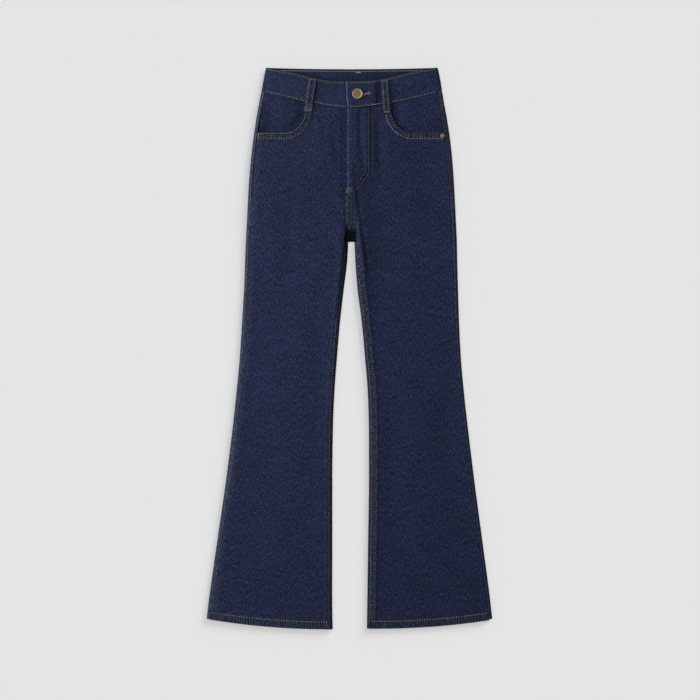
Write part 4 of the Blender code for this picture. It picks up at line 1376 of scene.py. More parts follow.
# ---- Fronts ----
@dataclass
class Front:
    """A leg front with its scooped mouth, felled inseam and turned hem; the left one carries the fly."""

    side: Side
    finishes: Finishes
    mouth_lanes: int = 10
    lane_split: int = 6
    row_step: float = 3.6
    mouth_rows: tuple[float, ...] = (0.0, 0.3, 0.9, 2.6, 4.8, 7.0, 9.2, 11.0, 12.2, 13.2)
    blend_rows: int = 18
    inseam_lanes: tuple[float, ...] = (0.0, 9.6, 10.6, 11.8, 12.8, 19.0)
    inseam_fade: float = 30.0
    mouth_wear: Pair = (0.34, 0.22)         # right and left, along the mouth's edge
    mouth_row_wear: Pair = (0.22, 0.20)     # along the mouth's second row
    mouth_tone: Pair = (0.12, 0.22)         # all over the mouth's band
    ridge_wear: Pair = (0.02, 0.06)         # on the felled inseam's ridge
    strip_tone: Pair = (-0.10, 0.38)        # between that ridge and the outline
    side_row_wear: Pair = (0.28, 0.0)       # beside the side seam
    side_seam_tone: Pair = (0.75, -0.05)    # at it: paler low on the right leg, a little darker high on the left one
    past_ridge_dark: float = 0.05           # past the felled inseam's ridge
    inseam_painted_shade: Pair = (0.32, 0.16)        # painted shade beside the right inseam: more above the knee, and everywhere
    hem_tone: Triple = (0.15, 0.26, -0.09)  # paler all over the hem and at its edge, and darker just above it
    roping: Pair = (-0.5, 0.9)              # on the felled inseam and on the hem
    fly_wear: Triple = (0.85, 0.20, 0.02)   # on the fly's edge, below its bartack, and inside the fly
    foot_painted_shade: float = 0.97                 # painted shade at the centre seam's foot, in the fork
    beside_foot_painted_shade: float = 0.9           # painted shade on the right front beside it
    mouth_reach: float = 150.0              # down to where the mouth's band can lie
    seam_fade: float = 20.0
    underlap_slope: float = 16.7
    underlap_fade: float = 26.0
    underlap_step: float = 5.0
    underlap_end: float = 229.0
    zip_thick: float = 1.0
    flat: Pair = (272.0, 1030.0)

    def coarse(self) -> tuple[tuple[float, ...], tuple[float, ...], tuple[int, ...]]:
        """Lanes over or under the other front, its own lanes, and into how many each is split."""
        if self.side is Side.LEFT:
            return ((CUT.fly_edge, 5.5), (14.2, 25.0, 37.7, 38.7, 50.0, 65.0), (4, 4, 4, 4, 3, 5, 6, 6))
        return ((14.0, 7.0, 1.5), (CUT.fly_edge - CUT.gap, -14.0, -24.0, -36.0, -51.0, -67.0),
                (3, 2, 2, 4, 4, 4, 6, 6, 6))

    def lanes(self) -> tuple[Array, int, int]:
        """Fine lanes as places between the coarse ones.

        Returns:
            The places, how many coarse lanes lie past the centre, and how many come before the mouth.
        """
        past, own, splits = self.coarse()
        near, extra = len(past) + len(own), len(past)
        splits = splits + (self.lane_split,) * (self.mouth_lanes - 1)
        places = [i + j / n for i, n in enumerate(splits) for j in range(n)] + [float(len(splits))]
        edges = [e + s * d for e, s in ((0, 1), (extra, 1), (len(splits), -1)) for d in (0.025, 0.08)]
        return np.array(sorted(places + edges)), extra, near

    def rows(self) -> Array:
        """Distances down of the level rows.

        Returns:
            The distances in millimetres.
        """
        hem = CUT.hem_corner - CUT.hem_band[0]
        end = CUT.tongue_end if self.side is Side.LEFT else self.underlap_end
        return spaced((CUT.straight, self.row_step), (end, 0.7), (end + 0.7, self.row_step),
                      (hem - CUT.step, CUT.step), (hem, 2.2), (CUT.hem_corner - 1.0, 0.6),
                      (CUT.hem_corner - 0.3, 0.3), (CUT.hem_corner, 0.3))

    def grid(self) -> tuple[Array, Array, Array]:
        """Lay out the panel's points.

        Returns:
            x, down, and which cells are cloth.
        """
        side, sign = self.side, self.side.value
        places, extra, near = self.lanes()
        past, own, _ = self.coarse()
        coarse = np.array(past + own + (CUT.mouth_start(side),))
        mouth_x, mouth_down, normal_x, normal_down = CUT.mouth(side, CUT.mouth_points)
        last = near + self.mouth_lanes - 1
        steps = np.arange(float(CUT.mouth_points))
        at = np.clip((places - near) / (last - near), 0.0, 1.0) * steps[-1]
        on_band = places < near
        flat_x = np.interp(places, np.arange(near + 1), coarse)
        edge_x = np.where(on_band, flat_x, np.interp(at, steps, mouth_x))
        edge_down = np.where(on_band, CUT.band_edge(flat_x, 2) + CUT.gap, np.interp(at, steps, mouth_down))
        turn = [near - 1.0, float(near), near + 1.0]
        next_at = steps[-1] / (last - near)
        push_x = np.interp(places, turn, [0.0, -sign, np.interp(next_at, steps, normal_x)])
        push_down = np.interp(places, turn, [1.0, 1.0, np.interp(next_at, steps, normal_down)])
        beyond = places > near + 1.0
        push_x = np.where(beyond, np.interp(at, steps, normal_x), push_x)
        push_down = np.where(beyond, np.interp(at, steps, normal_down), push_down)
        rows_x = [edge_x + offset * push_x for offset in self.mouth_rows]
        rows_down = [edge_down + offset * push_down for offset in self.mouth_rows]

        side_x = float(CUT.side_seam(side, CUT.straight))
        level = np.interp(places, np.append(np.arange(near), [near, last]),
                          np.append(coarse[:-1], [coarse[-1], side_x]))
        for t in np.arange(1, self.blend_rows) / self.blend_rows:
            rows_x.append(rows_x[len(self.mouth_rows) - 1] * (1.0 - t) + level * t)
            rows_down.append(rows_down[len(self.mouth_rows) - 1] * (1.0 - t) + CUT.straight * t)

        first = extra + len(self.inseam_lanes)
        count = last + 1
        share = np.clip((places - first + 1.0) / (count - first), 0.0, 1.0)
        level_first = np.interp(first - 1, places, level)
        widened = np.clip((level - level_first) / (level[-1] - level_first), 0.0, 1.0)
        inset = np.interp(places, extra + np.arange(len(self.inseam_lanes)), self.inseam_lanes)
        start, end = (CUT.fly_end, CUT.tongue_end) if side is Side.LEFT else (296.0, CUT.crotch)
        levels = self.rows()
        for base in levels:
            down = np.full(len(places), base)
            if base > CUT.crotch:
                outer, inner = CUT.outer(side, base), CUT.inner(side, base)
                across = (self.leg(down, inset, share) - outer) / (inner - outer)
                down = CUT.sagged(side, base, np.clip(across, 0.0, 1.0))
            leg = np.where(places < extra, level, self.leg(down, inset, share))
            body = level + (CUT.side_seam(side, down) - side_x) * widened
            rows_x.append(body + (leg - body) * smooth((base - start) / (end - start)))
            rows_down.append(down)
        x, down = np.array(rows_x), np.array(rows_down)
        x[:, -1] = CUT.side_seam(side, down[:, -1])
        cells = np.ones((x.shape[0] - 1, x.shape[1] - 1), bool)
        tongue = CUT.tongue_end if side is Side.LEFT else self.underlap_end
        stop = len(rows_x) - len(levels) + int(np.argmin(np.abs(levels - tongue)))
        cells[stop:, :int(np.searchsorted(places, extra))] = False
        return x, down, cells

    def leg(self, down: Array, inset: Array, share: Array) -> Array:
        """x of the lanes on the leg: at set distances from the inseam, then evenly out to the side seam."""
        start = CUT.inseam(self.side, down) + self.side.value * inset
        return start + (CUT.side_seam(self.side, down) - start) * share

    def hem(self, x: Array, down: Array) -> tuple[Array, Array]:
        """Distance from the hem's edge, and how far a point lies on the turned hem."""
        from_hem = CUT.hem_line(self.side, x) - down
        return from_hem, smooth((CUT.hem_band[0] + CUT.step - from_hem) / CUT.step)

    def bands(self, x: Array, down: Array) -> tuple[Array, Array, Array]:
        """The raised and puckered sewn edges.

        Args:
            x: The points' x.
            down: Their distance down.

        Returns:
            Height added, how far the edges are rubbed or, below 0, darkened by painted shade, and how far
            they are roped.
        """
        side = self.side
        past, run = np.full(x.shape, FAR), np.zeros(x.shape)
        high = down < self.mouth_reach
        past[high], run[high] = CUT.from_mouth(side, x[high], down[high])
        past = np.maximum(past, 0.0)
        width, rise = CUT.mouth_band
        on_mouth = smooth((width + CUT.step - past) / CUT.step)
        ripple = pucker(run, 3.4, 41)
        height = on_mouth * (rise + 0.16 * ripple * smooth(past / 2.0))
        beside_loop = smooth((run - 18.0) / 8.0)
        wear_and_shade = (side.pick(*self.mouth_wear) * bell(past / 1.3)
                + side.pick(*self.mouth_row_wear) * bell((past - width) / 1.6)
                + side.pick(*self.mouth_tone) * on_mouth) * beside_loop + CUT.crease_wear_and_shade(x, down)
        roping = on_mouth * beside_loop * (2.0 * smooth((run - 44.0) / 18.0) - 1.0)

        from_inseam = np.abs(x - CUT.inseam(side, down))
        on_leg = smooth((down - CUT.tongue_end) / self.inseam_fade)
        ridge_at = side.pick(*CUT.inseam_ridge)
        reach = np.minimum(side.pick(*CUT.inseam_band[:2]),
                           ridge_at - CUT.section(side.word + "_inseam", down))
        on_inseam = smooth((reach + CUT.step - from_inseam) / CUT.step) * on_leg
        ripple = pucker(down, 4.2, 42)
        height = height + on_inseam * (CUT.inseam_band[2] + 0.15 * ripple)
        from_edge = np.abs(x - CUT.inner(side, down))
        strip = on_leg * smooth((ridge_at - from_edge) / 1.2)
        shaded = smooth((540.0 - down) / 150.0)
        ridge = on_leg * bell((from_edge - ridge_at + side.pick(0.4, 1.0)) / 1.5)
        past_ridge = on_leg * bell((from_edge - ridge_at - 3.2) / 1.8)
        wear_and_shade = (wear_and_shade + side.pick(*self.ridge_wear) * ridge + side.pick(*self.strip_tone) * strip
                - self.past_ridge_dark * past_ridge)
        # Painted shade along the right inseam, strongest above the knee near the fork.
        if side is Side.RIGHT:
            above_knee, everywhere = self.inseam_painted_shade
            wear_and_shade = wear_and_shade - (above_knee * shaded + everywhere) * bell(from_inseam / 4.2) * on_leg
        roping = roping + on_inseam * self.roping[0]
        from_side = np.abs(CUT.side_seam(side, down) - x)
        below = smooth((down - CUT.mouth_depth - 6.0) / 6.0)
        low = smooth((down - 420.0) / 160.0)
        seam_edge = side.pick(self.side_seam_tone[0] * low, self.side_seam_tone[1] * (1.0 - low))
        beside_row = side.pick(*self.side_row_wear) * bell((from_side - 4.5) / 6.5)
        wear_and_shade = wear_and_shade + below * (seam_edge * bell(from_side / 1.3) + beside_row)

        from_hem, on_hem = self.hem(x, down)
        ripple = pucker(x, 3.0, 43) * 0.7 + pucker(x + from_hem * 0.6, 6.5, 44) * 0.5
        height = height + on_hem * (CUT.hem_band[1] + 0.24 * ripple)
        height = height + (1.0 - on_hem) * 0.12 * ripple * bell((from_hem - CUT.hem_band[0]) / 9.0)
        all_over, at_edge, above = self.hem_tone
        wear_and_shade = wear_and_shade * (1.0 - on_hem) + (all_over + at_edge * bell(from_hem / 1.6)) * on_hem
        wear_and_shade = wear_and_shade + above * bell((from_hem - CUT.hem_band[0] - 3.0) / 3.0)
        roping = roping * (1.0 - on_hem) + on_hem * self.roping[1]
        return height, wear_and_shade, roping

    def fly(self, x: Array, down: Array) -> tuple[Array, Array]:
        """The fly's raised layer and the felled centre seam below it: height added, rubbing and painted
        shade.

        Args:
            x: The points' x.
            down: Their distance down.

        Returns:
            Height added, and how far the indigo is rubbed, or below 0 how dark the painted shade is.
        """
        fly = CUT.fly_raise * smooth((CUT.fly_line(x) - down) / CUT.fly_fade)
        fly = fly * smooth((CUT.fly_edge + CUT.fly_width + CUT.step - x) / CUT.step)
        seam = CUT.seam_raise * smooth((CUT.tongue_end - down) / self.seam_fade) * smooth(
            (13.4 - x) / (CUT.step + 1.2))
        ripple = pucker(down, 4.0, 45)
        seam_wear = smooth((down - 190.0) / 30.0) * smooth((CUT.tongue_end - down) / self.seam_fade)
        edge = bell((x - CUT.fly_edge) / 1.0) * (down < CUT.tongue_end)
        below = smooth((down - CUT.fly_end + 8.0) / 8.0) * smooth((14.0 - x) / 2.0) * seam_wear
        inside = smooth((12.0 - np.abs(x - 8.0)) / 4.0) * smooth((215.0 - down) / 20.0)
        # Painted shade at the centre seam's foot, where the fork lies in shadow.
        dark = smooth((down - 299.0) / 9.0) * smooth((14.0 - x) / 2.0) * (down < CUT.tongue_end + 1.0)
        shares = zip(self.fly_wear, (edge, below, inside))
        wear_and_shade = np.maximum.reduce([rub * place for rub, place in shares])
        wear_and_shade = wear_and_shade * (1.0 - dark) - self.foot_painted_shade * dark
        return np.maximum(fly, seam) + 0.12 * ripple * below, wear_and_shade

    def height(self, x: Number, down: Number) -> Array:
        """Height of the panel's outer face.

        Args:
            x: The points' x.
            down: Their distance down.

        Returns:
            Height in millimetres.
        """
        x, down = together(x, down)
        band = self.bands(x, down)[0]
        if self.side is Side.LEFT:
            return CUT.top(x, down) + band + self.fly(x, down)[0]
        return CUT.top(x, down) + band - self.sink(x, down)

    def sink(self, x: Array, down: Array) -> Array:
        """How far the right front sinks to pass under the fly and the zip.

        Args:
            x: The points' x.
            down: Their distance down.

        Returns:
            Depth in millimetres.
        """
        edge = CUT.fly_edge - CUT.gap
        fade = 1.0 - smooth((down - CUT.fly_end) / self.underlap_fade)
        beside = (CUT.wall + CUT.gap) * smooth((x - edge + self.underlap_slope) / self.underlap_slope)
        under = (self.zip_thick + CUT.gap) * np.clip((x - edge) / self.underlap_step, 0.0, 1.0)
        return fade * (beside + under)

    def build(self, with_pieces: Sequence[Piece]) -> Piece:
        """Build and dress the panel.

        Args:
            with_pieces: What is sewn on it; not used.

        Returns:
            The piece.
        """
        x, down, cells = self.grid()
        height = self.height(x, down)
        band, wear_and_shade, roping = self.bands(x, down)
        on_hem = self.hem(x, down)[1]
        thickness = CUT.wall + on_hem * (CUT.hem_wall - CUT.hem_band[1] - CUT.wall)
        single = height - band
        if self.side is Side.LEFT:
            fly, fly_wear = self.fly(x, down)
            # The fly's values below 0 are painted shade and take the place of the wear.
            single, wear_and_shade = single - fly, np.where(fly_wear < 0.0, fly_wear, wear_and_shade + fly_wear)
            roping = roping - 0.6 * bell((x - CUT.fly_edge) / 2.4) * (down < CUT.tongue_end)
        else:
            thickness = np.where(x > CUT.fly_edge - CUT.gap, CUT.light_wall, thickness)
            # Painted shade on the right front beside the centre seam's foot.
            beside = smooth((down - 288.0) / 20.0) * smooth((CUT.crotch + 14.0 - down) / 12.0)
            wear_and_shade = wear_and_shade - self.beside_foot_painted_shade * beside * smooth((x + 11.0) / 6.0)
        name = f"{self.side.word}_front_cloth"
        cloth = Cloth(name, x, down, height, single - thickness, cells=cells, wear_and_shade=wear_and_shade, roping=roping)
        return dress_cloth(cloth, self.finishes, f"front_{self.side.word}", self.flat)


@dataclass
class Facing:
    """Plain denim behind a pocket mouth."""

    side: Side
    finishes: Finishes
    under: float = 8.0
    rise: float = 1.7
    slope: Pair = (4.0, 17.0)
    lanes: int = 44
    rows: int = 36
    middle_wear: Pair = (0.07, 0.03)    # right and left, in the middle
    side_painted_shade: Pair = (0.26, 0.10)      # painted shade near the side seam, beside the higher lip
    under_mouth_painted_shade: float = 0.20             # painted shade under the mouth's edge
    loop_dark: float = 0.13             # towards the right loop
    dark: Pair = (0.07, 0.02)           # all over
    flat: Pair = (112.0, 88.0)

    def height(self, x: Number, down: Number) -> Array:
        """Height of the facing's outer face.

        Args:
            x: The points' x.
            down: Their distance down.

        Returns:
            Height in millimetres.
        """
        x, down = together(x, down)
        past, _ = CUT.from_mouth(self.side, x, down)
        rise = self.rise * smooth((-past - self.slope[0]) / self.slope[1])
        return CUT.top(x, down) - (CUT.wall + CUT.gap) + rise

    def build(self) -> Piece:
        """Build and dress the facing.

        Returns:
            The piece.
        """
        side = self.side
        start = CUT.mouth_start(side) - side.value * self.under
        share = np.linspace(0.0, 1.0, self.lanes + 1)[None, :]
        along = np.linspace(0.0, 1.0, self.rows + 1)[:, None]
        upper = CUT.band_side[1]
        for _ in range(4):
            upper = CUT.band_edge(start + (CUT.side_seam(side, upper) - start) * share, 2) + CUT.gap
        down = upper + (CUT.mouth_depth + self.under - upper) * along
        x = start + (CUT.side_seam(side, down) - start) * share
        height = self.height(x, down)
        middle = bell(np.hypot(np.abs(x) - 137.0, down - 80.0) / 20.0)
        beside = bell((np.abs(CUT.side_seam(side, down) - x) - 14.0) / 6.0) * smooth((down - 66.0) / 20.0)
        deep = np.clip(CUT.from_mouth(side, x, down)[0] + 12.0, 0.0, 12.0) / 12.0
        loopward = side.pick(1.0, 0.0) * smooth((x + 130.0) / 8.0)
        # Painted shade near the side seam and under the mouth's edge darkens the facing.
        wear_and_shade = (side.pick(*self.middle_wear) * middle - side.pick(*self.side_painted_shade) * beside
                - self.under_mouth_painted_shade * deep - self.loop_dark * loopward - side.pick(*self.dark))
        cloth = Cloth(f"{side.word}_pocket_facing_cloth", x, down, height, height - CUT.light_wall, wear_and_shade=wear_and_shade,
                      rim=0.35)
        return dress_cloth(cloth, self.finishes, f"pocket_facing_{side.word}", self.flat)


# ---- Backs ----
@dataclass
class Wrap:
    """Rows of back cloth: lip on the front face, folded edge, underside, and on a leg the inner fold."""

    side: Side
    lip_steps: int = 4
    roll_steps: int = 10
    flat_step: float = 5.0
    last_shares: Pair = (1.0 - 0.9 / 170.0, 1.0 - 0.3 / 170.0)  # for the seam's rounding
    strip_tone: Pair = (0.30, 0.10)     # right and left, on the strip past the side seam
    ridge_wear: Pair = (1.05, 0.26)     # on its ridge
    ridge_at: Pair = (5.4, 6.0)         # where the ridge lies from the outline
    ridge_half: Pair = (2.0, 1.1)       # its half width
    edge_dark: Pair = (0.75, 0.0)       # at the outline
    hip_wear: Pair = (0.5, 0.0)         # in a second line at the hip
    fork_painted_shade: float = 0.92             # painted shade in the fork
    inner_tone: float = 0.10            # on the left leg's inner strip
    inner_ridge: float = 0.45           # on its ridge
    inner_edge_dark: float = 0.9        # at its outline

    def roll(self, outside: bool, down: Array, thickness: Array) -> tuple[Array, Array, Array, Array]:
        """Points round a folded edge, from its top to its underside.

        Args:
            outside: Whether it is the outer edge of the garment rather than the inner edge of a leg.
            down: The rows' distance down, one column.
            thickness: The cloth's thickness in each row.

        Returns:
            x, outer height, inner x and inner height.
        """
        sign = self.side.value * (1.0 if outside else -1.0)
        edge = CUT.outer(self.side, down) if outside else CUT.inner(self.side, down)
        radius = CUT.edge_radius(down)
        crest, low = CUT.top(edge - sign * radius, down), CUT.under(edge - sign * radius, down)
        middle, half = (crest + low) / 2.0, (crest - low) / 2.0
        turn, lift = half_turn(self.roll_steps)
        return (edge - sign * radius * (1.0 - turn), middle + half * lift,
                edge - sign * radius + sign * (radius - thickness) * turn, middle + (half - thickness) * lift)

    def lip(self, down_front: Array, down_side: Array, thickness: Array) -> tuple[Array, ...]:
        """Points from the side seam on the front face up to the outer fold.

        Args:
            down_front: The rows' distance down on the front face.
            down_side: Their distance down at the fold.
            thickness: The cloth's thickness in each row.

        Returns:
            x, down, outer height, inner x and inner height.
        """
        sign = self.side.value
        edge = CUT.outer(self.side, down_side)
        radius = CUT.edge_radius(down_side)
        start = edge - sign * (CUT.section(self.side.word + "_side", down_side) - CUT.gap / 2)
        shares = np.concatenate(([0.0, 0.06, 0.18], np.linspace(0.4, 1.0, self.lip_steps)[:-1]))[None, :]
        x = start + (edge - sign * radius - start) * shares
        down = down_front + 0.0 * x
        z = CUT.top(x, down)
        return x, down, z, x, z - thickness

    def build(self, name: str, down_front: Array, down_side: Array, flat_end: Array,
              flat_down: HeightAt, thickness: Array,
              leg: Array | None = None) -> Cloth:
        """Lay out the rows.

        Args:
            name: Name of the piece.
            down_front: Distance down of each row on the front face.
            down_side: Distance down of each row at the folded edge.
            flat_end: x where each row's flat stretch ends.
            flat_down: Distance down on the flat stretch, from x and the share of the way along it.
            thickness: The cloth's thickness in each row.
            leg: Which rows go on round a leg's inner fold.

        Returns:
            The sheet.
        """
        column = [np.asarray(v, float)[:, None] for v in (down_front, down_side, flat_end, thickness)]
        down_front, down_side, flat_end, thickness = column
        sign = self.side.value
        parts = [self.lip(down_front, down_side, thickness)]
        x, z, inner_x, inner_z = self.roll(True, down_side, thickness)
        parts.append((x, down_side + 0.0 * x, z, inner_x, inner_z))
        start = x[:, -1:]
        count = int(abs(start - flat_end).max() / self.flat_step)
        share = (np.arange(1, count + 1) / count)[None, :]
        share = np.append(share, [self.last_shares], axis=1)
        share.sort()
        x = start + (flat_end - start) * share
        down = flat_down(x, share)
        z = CUT.under(x, down)
        parts.append((x, down, z, x, z + thickness))
        rolled = parts[0][0].shape[1] + parts[1][0].shape[1]
        flat_last = rolled + x.shape[1] - 1
        if leg is not None:
            down = flat_down(flat_end, np.ones_like(flat_end))
            x, z, inner_x, inner_z = (v[:, ::-1] for v in self.roll(False, down, thickness))
            parts.append((x[:, 1:], down + 0.0 * x[:, 1:], z[:, 1:], inner_x[:, 1:], inner_z[:, 1:]))
            end = CUT.inner(self.side, down) + sign * (CUT.section(self.side.word + "_inseam", down)
                                                       - CUT.gap / 2)
            shares = np.array([0.5, 0.84, 0.95, 1.0])[None, :]
            x = x[:, -1:] + (end - x[:, -1:]) * shares
            z = CUT.top(x, down + 0.0 * x)
            parts.append((x, down + 0.0 * x, z, x, z - thickness))
        x, down, z, inner_x, inner_z = joined(parts)
        cells = np.ones((x.shape[0] - 1, x.shape[1] - 1), bool)
        rounded = (True, True, True, True)
        if leg is not None:
            cells[~(leg[:-1] & leg[1:]), flat_last:] = False
            rounded = (True, True, True, False)
        run = run_along(x, z)
        start = slice(rolled + 2, rolled + 3)
        across = x[:, start] - sign * (run - run[:, start])
        from_edge, upper = np.abs(x - CUT.outer(self.side, down)), smooth((z - 3.0) / 2.0)
        strip = upper * smooth((12.0 - from_edge) / 1.0)
        pick = self.side.pick
        ridge = bell((from_edge - pick(*self.ridge_at)) / pick(*self.ridge_half))
        wear_and_shade = strip * (pick(*self.strip_tone) + pick(*self.ridge_wear) * ridge
                        - pick(*self.edge_dark) * bell(from_edge / 1.7)
                        + pick(*self.hip_wear) * bell((from_edge - 7.0) / 1.6) * bell((down - 168.0) / 60.0))
        if leg is not None:
            from_edge = np.abs(x - CUT.inner(self.side, down))
            inside = smooth((z - 2.0) / 1.0) * smooth((12.0 - from_edge) / 1.0) * smooth(
                (down - CUT.crotch + 4.0) / 4.0)
            if self.side is Side.RIGHT:
                # Painted shade in the fork on the right leg's inner strip
                wear_and_shade = wear_and_shade - inside * self.fork_painted_shade * CUT.in_fork(down)
            else:
                wear_and_shade = wear_and_shade + inside * (self.inner_tone * smooth((600.0 - down) / 160.0)
                                        + self.inner_ridge * bell((from_edge - 4.6) / 1.4)
                                        - self.inner_edge_dark * bell(from_edge / 1.8))
        return Cloth(name, x, down, z, inner_z, inner_x=inner_x, cells=cells, wear_and_shade=wear_and_shade,
                     across=across, rounded=rounded, roping=-0.35 * upper)


@dataclass
class Back:
    """A leg back, which wraps round the outer edge and, below the fork, round the inner edge as well."""

    side: Side
    finishes: Finishes
    row_step: float = 5.0
    upper_rows: int = 22
    flat: Pair = (300.0, 1000.0)

    def build(self, with_pieces: Sequence[Piece]) -> Piece:
        """Build and dress the back.

        Args:
            with_pieces: What is sewn on it; not used.

        Returns:
            The piece.
        """
        side, sign = self.side, self.side.value
        centre = CUT.centre + sign * CUT.gap / 2
        first = CUT.yoke_side + CUT.gap / 2
        share = np.linspace(0.0, 1.0, self.upper_rows)[:-1]
        hem = CUT.hem_corner - CUT.hem_band[0]
        body = spaced((CUT.straight, self.row_step), (CUT.crotch, self.row_step))
        legs = spaced((CUT.crotch + 0.6, self.row_step), (hem - 0.4, 0.4), (hem, 2.5),
                      (CUT.hem_corner - 1.0, 0.6), (CUT.hem_corner - 0.3, 0.3), (CUT.hem_corner, 0.3))
        base = np.concatenate((first + (CUT.straight - first) * share, body, legs))
        upper = np.concatenate((share, np.ones(len(body) + len(legs))))
        leg = base > CUT.crotch + 0.3
        low = CUT.sagged(side, base, 1.0)
        end = np.where(leg, CUT.inner(side, low) + sign * CUT.edge_radius(low), centre)

        def flat_down(x: Array, share_across: Array) -> Array:
            """Distance down on the underside: level rows, which bend to the yoke seam and to the hem.

            Args:
                x: The points' x.
                share_across: Share of the way along the flat stretch.

            Returns:
                The distances down.
            """
            seam = yoke_line(side, x) + CUT.gap / 2
            rising = seam + (CUT.straight - seam) * upper[:, None]
            level = np.where(leg[:, None], CUT.sagged(side, base[:, None], share_across), base[:, None])
            return np.where(base[:, None] < CUT.straight, rising, level)

        thickness = np.where(base >= hem, CUT.hem_wall, CUT.wall)
        cloth = Wrap(side).build(f"{side.word}_back_cloth", base, base, end, flat_down, thickness, leg)
        hem_tone = bell((CUT.hem_line(side, cloth.x) - cloth.down) / 1.3)
        cloth.wear_and_shade = cloth.wear_and_shade + 0.35 * hem_tone
        return dress_cloth(cloth, self.finishes, f"back_{side.word}", self.flat)


@dataclass
class ForkSeam:
    """The felled seam allowance where the four panels meet, painted near-black as the shade between the
    layers.
    """

    finishes: Finishes
    x: Pair = (-8.6, 10.6)
    down: Pair = (296.0, 327.2)
    rise: float = 0.2   # above the back cloth
    thick: float = 0.8
    # painted shade: near black
    wear_and_shade: float = -0.98

    def build(self) -> Piece:
        """Build and dress the strip.

        Returns:
            The piece.
        """
        x, down, size = upright_strip(self.x, self.down, 24, 30)
        low = CUT.under(x, down) + CUT.wall + self.rise
        piece = Cloth("fork_seam_cloth", x, down, low + self.thick, low, wear_and_shade=self.wear_and_shade, rim=0.35).build()
        dress(piece, self.finishes.denim)
        return piece


def yoke_line(side: Side, x: Number) -> Array:
    """Down to the yoke seam under the seat.

    Args:
        side: The wearer's side.
        x: The points' x.

    Returns:
        Distance down of the seam there.
    """
    width = abs(float(CUT.outer(side, CUT.yoke_side)) - CUT.centre)
    rise = 1.0 - np.clip(np.abs(x - CUT.centre) / width, 0.0, 1.0)
    return CUT.yoke_side + (CUT.yoke_centre - CUT.yoke_side) * rise


def back_seam(x: Number) -> Array:
    """Down to the waistband's lower edge under the seat."""
    return CUT.band_side[1] + CUT.back_rise * (1.0 - np.clip(np.abs(x - CUT.centre) / 171.0, 0.0, 1.0) ** 2)


@dataclass
class Yoke:
    """The shaped strip between the waistband and the back, from the front's side seam to the centre back."""

    side: Side
    finishes: Finishes
    rows: int = 15
    flat: Pair = (195.0, 70.0)

    def build(self) -> Piece:
        """Build and dress the yoke.

        Returns:
            The piece.
        """
        side, sign = self.side, self.side.value
        side_top = CUT.band_side[1] + CUT.gap
        lip = CUT.outer(side, side_top) - sign * CUT.section(side.word + "_side", side_top)
        front_top = float(CUT.band_edge(lip, 2)) + 2.0 * CUT.gap
        low = CUT.yoke_side - CUT.gap / 2
        share = np.concatenate(([0.0, 0.01, 0.03], np.linspace(0.0, 1.0, self.rows)[1:-1], [0.97, 0.99, 1.0]))

        def flat_down(x: Array, _: Array) -> Array:
            """Distance down on the underside."""
            upper = back_seam(x) + CUT.gap
            return upper + (yoke_line(side, x) - CUT.gap / 2 - upper) * share[:, None]

        cloth = Wrap(side).build(f"{side.word}_yoke_cloth", front_top + (low - front_top) * share,
                                 side_top + (low - side_top) * share,
                                 np.full(len(share), CUT.centre + sign * CUT.gap / 2), flat_down,
                                 np.full(len(share), CUT.wall))
        return dress_cloth(cloth, self.finishes, f"yoke_{side.word}", self.flat)


@dataclass
class BackPocket:
    """A five-sided patch under the seat, with its turned top edge."""

    side: Side
    finishes: Finishes
    middle: float = 94.0
    top: float = 130.0
    shoulder: float = 232.0
    point: float = 258.0
    half_top: float = 62.0
    half_low: float = 52.0
    thick: float = 1.2
    lanes: int = 40
    rows: int = 40
    flat: Pair = (124.0, 128.0)

    def outline(self, inset: float) -> tuple[Array, Array]:
        """Points down one side, round the point and up the other, drawn in by an inset.

        Args:
            inset: The inset in millimetres.

        Returns:
            x and down of the points.
        """
        slope = (self.point - self.shoulder) / self.half_low
        low = self.half_low - inset
        corner = self.shoulder - inset * 0.55
        x = np.array([-self.half_top + inset, -low, 0.0, low, self.half_top - inset])
        down = np.array([self.top, corner, corner + slope * low, corner, self.top])
        return x + CUT.centre + self.side.value * self.middle, down

    def build(self) -> Piece:
        """Build and dress the pocket.

        Returns:
            The piece.
        """
        across = np.concatenate(([-1.0, -0.995, -0.985], np.linspace(-0.95, 0.95, self.lanes),
                                 [0.985, 0.995, 1.0]))[None, :]
        share = np.concatenate(([0.0, 0.003, 0.01], np.linspace(0.03, 0.97, self.rows),
                                [0.99, 0.997, 1.0]))[:, None]
        end = self.shoulder + (self.point - self.shoulder) * (1.0 - np.abs(across))
        down = self.top + (end - self.top) * share
        half = self.half_top + (self.half_low - self.half_top) * np.clip(
            (down - self.top) / (self.shoulder - self.top), 0.0, 1.0)
        x = CUT.centre + self.side.value * self.middle + half * across
        low = CUT.clear + 0.12 * np.maximum(Lumps(24.0, 51)(x, down), 0.0)
        cloth = Cloth(f"{self.side.word}_back_pocket_cloth", x, down, low + 0.0 * x, low + self.thick - 0.2,
                      rim=0.45)
        return dress_cloth(cloth, self.finishes, f"back_pocket_{self.side.word}", self.flat)


# ---- Waistband and loops ----
# Creases along the front of the band: middle x, half length, share down, tilt, half width and rise
BAND_CREASES = (
    (-134.0, 26.0, 0.30, 0.0022, 0.05, 0.42), (-110.0, 30.0, 0.62, -0.0015, 0.09, -0.26),
    (112.0, 18.0, 0.34, -0.0026, 0.05, 0.40), (140.0, 22.0, 0.60, 0.0018, 0.09, -0.26),
    (-42.0, 20.0, 0.45, 0.002, 0.08, -0.26), (88.0, 16.0, 0.66, 0.0, 0.08, 0.22))
# Pale lines on it: middle x, half length, share down and tilt
BAND_LINES = ((-136.0, 22.0, 0.27, 0.0022), (116.0, 16.0, 0.32, -0.0026))


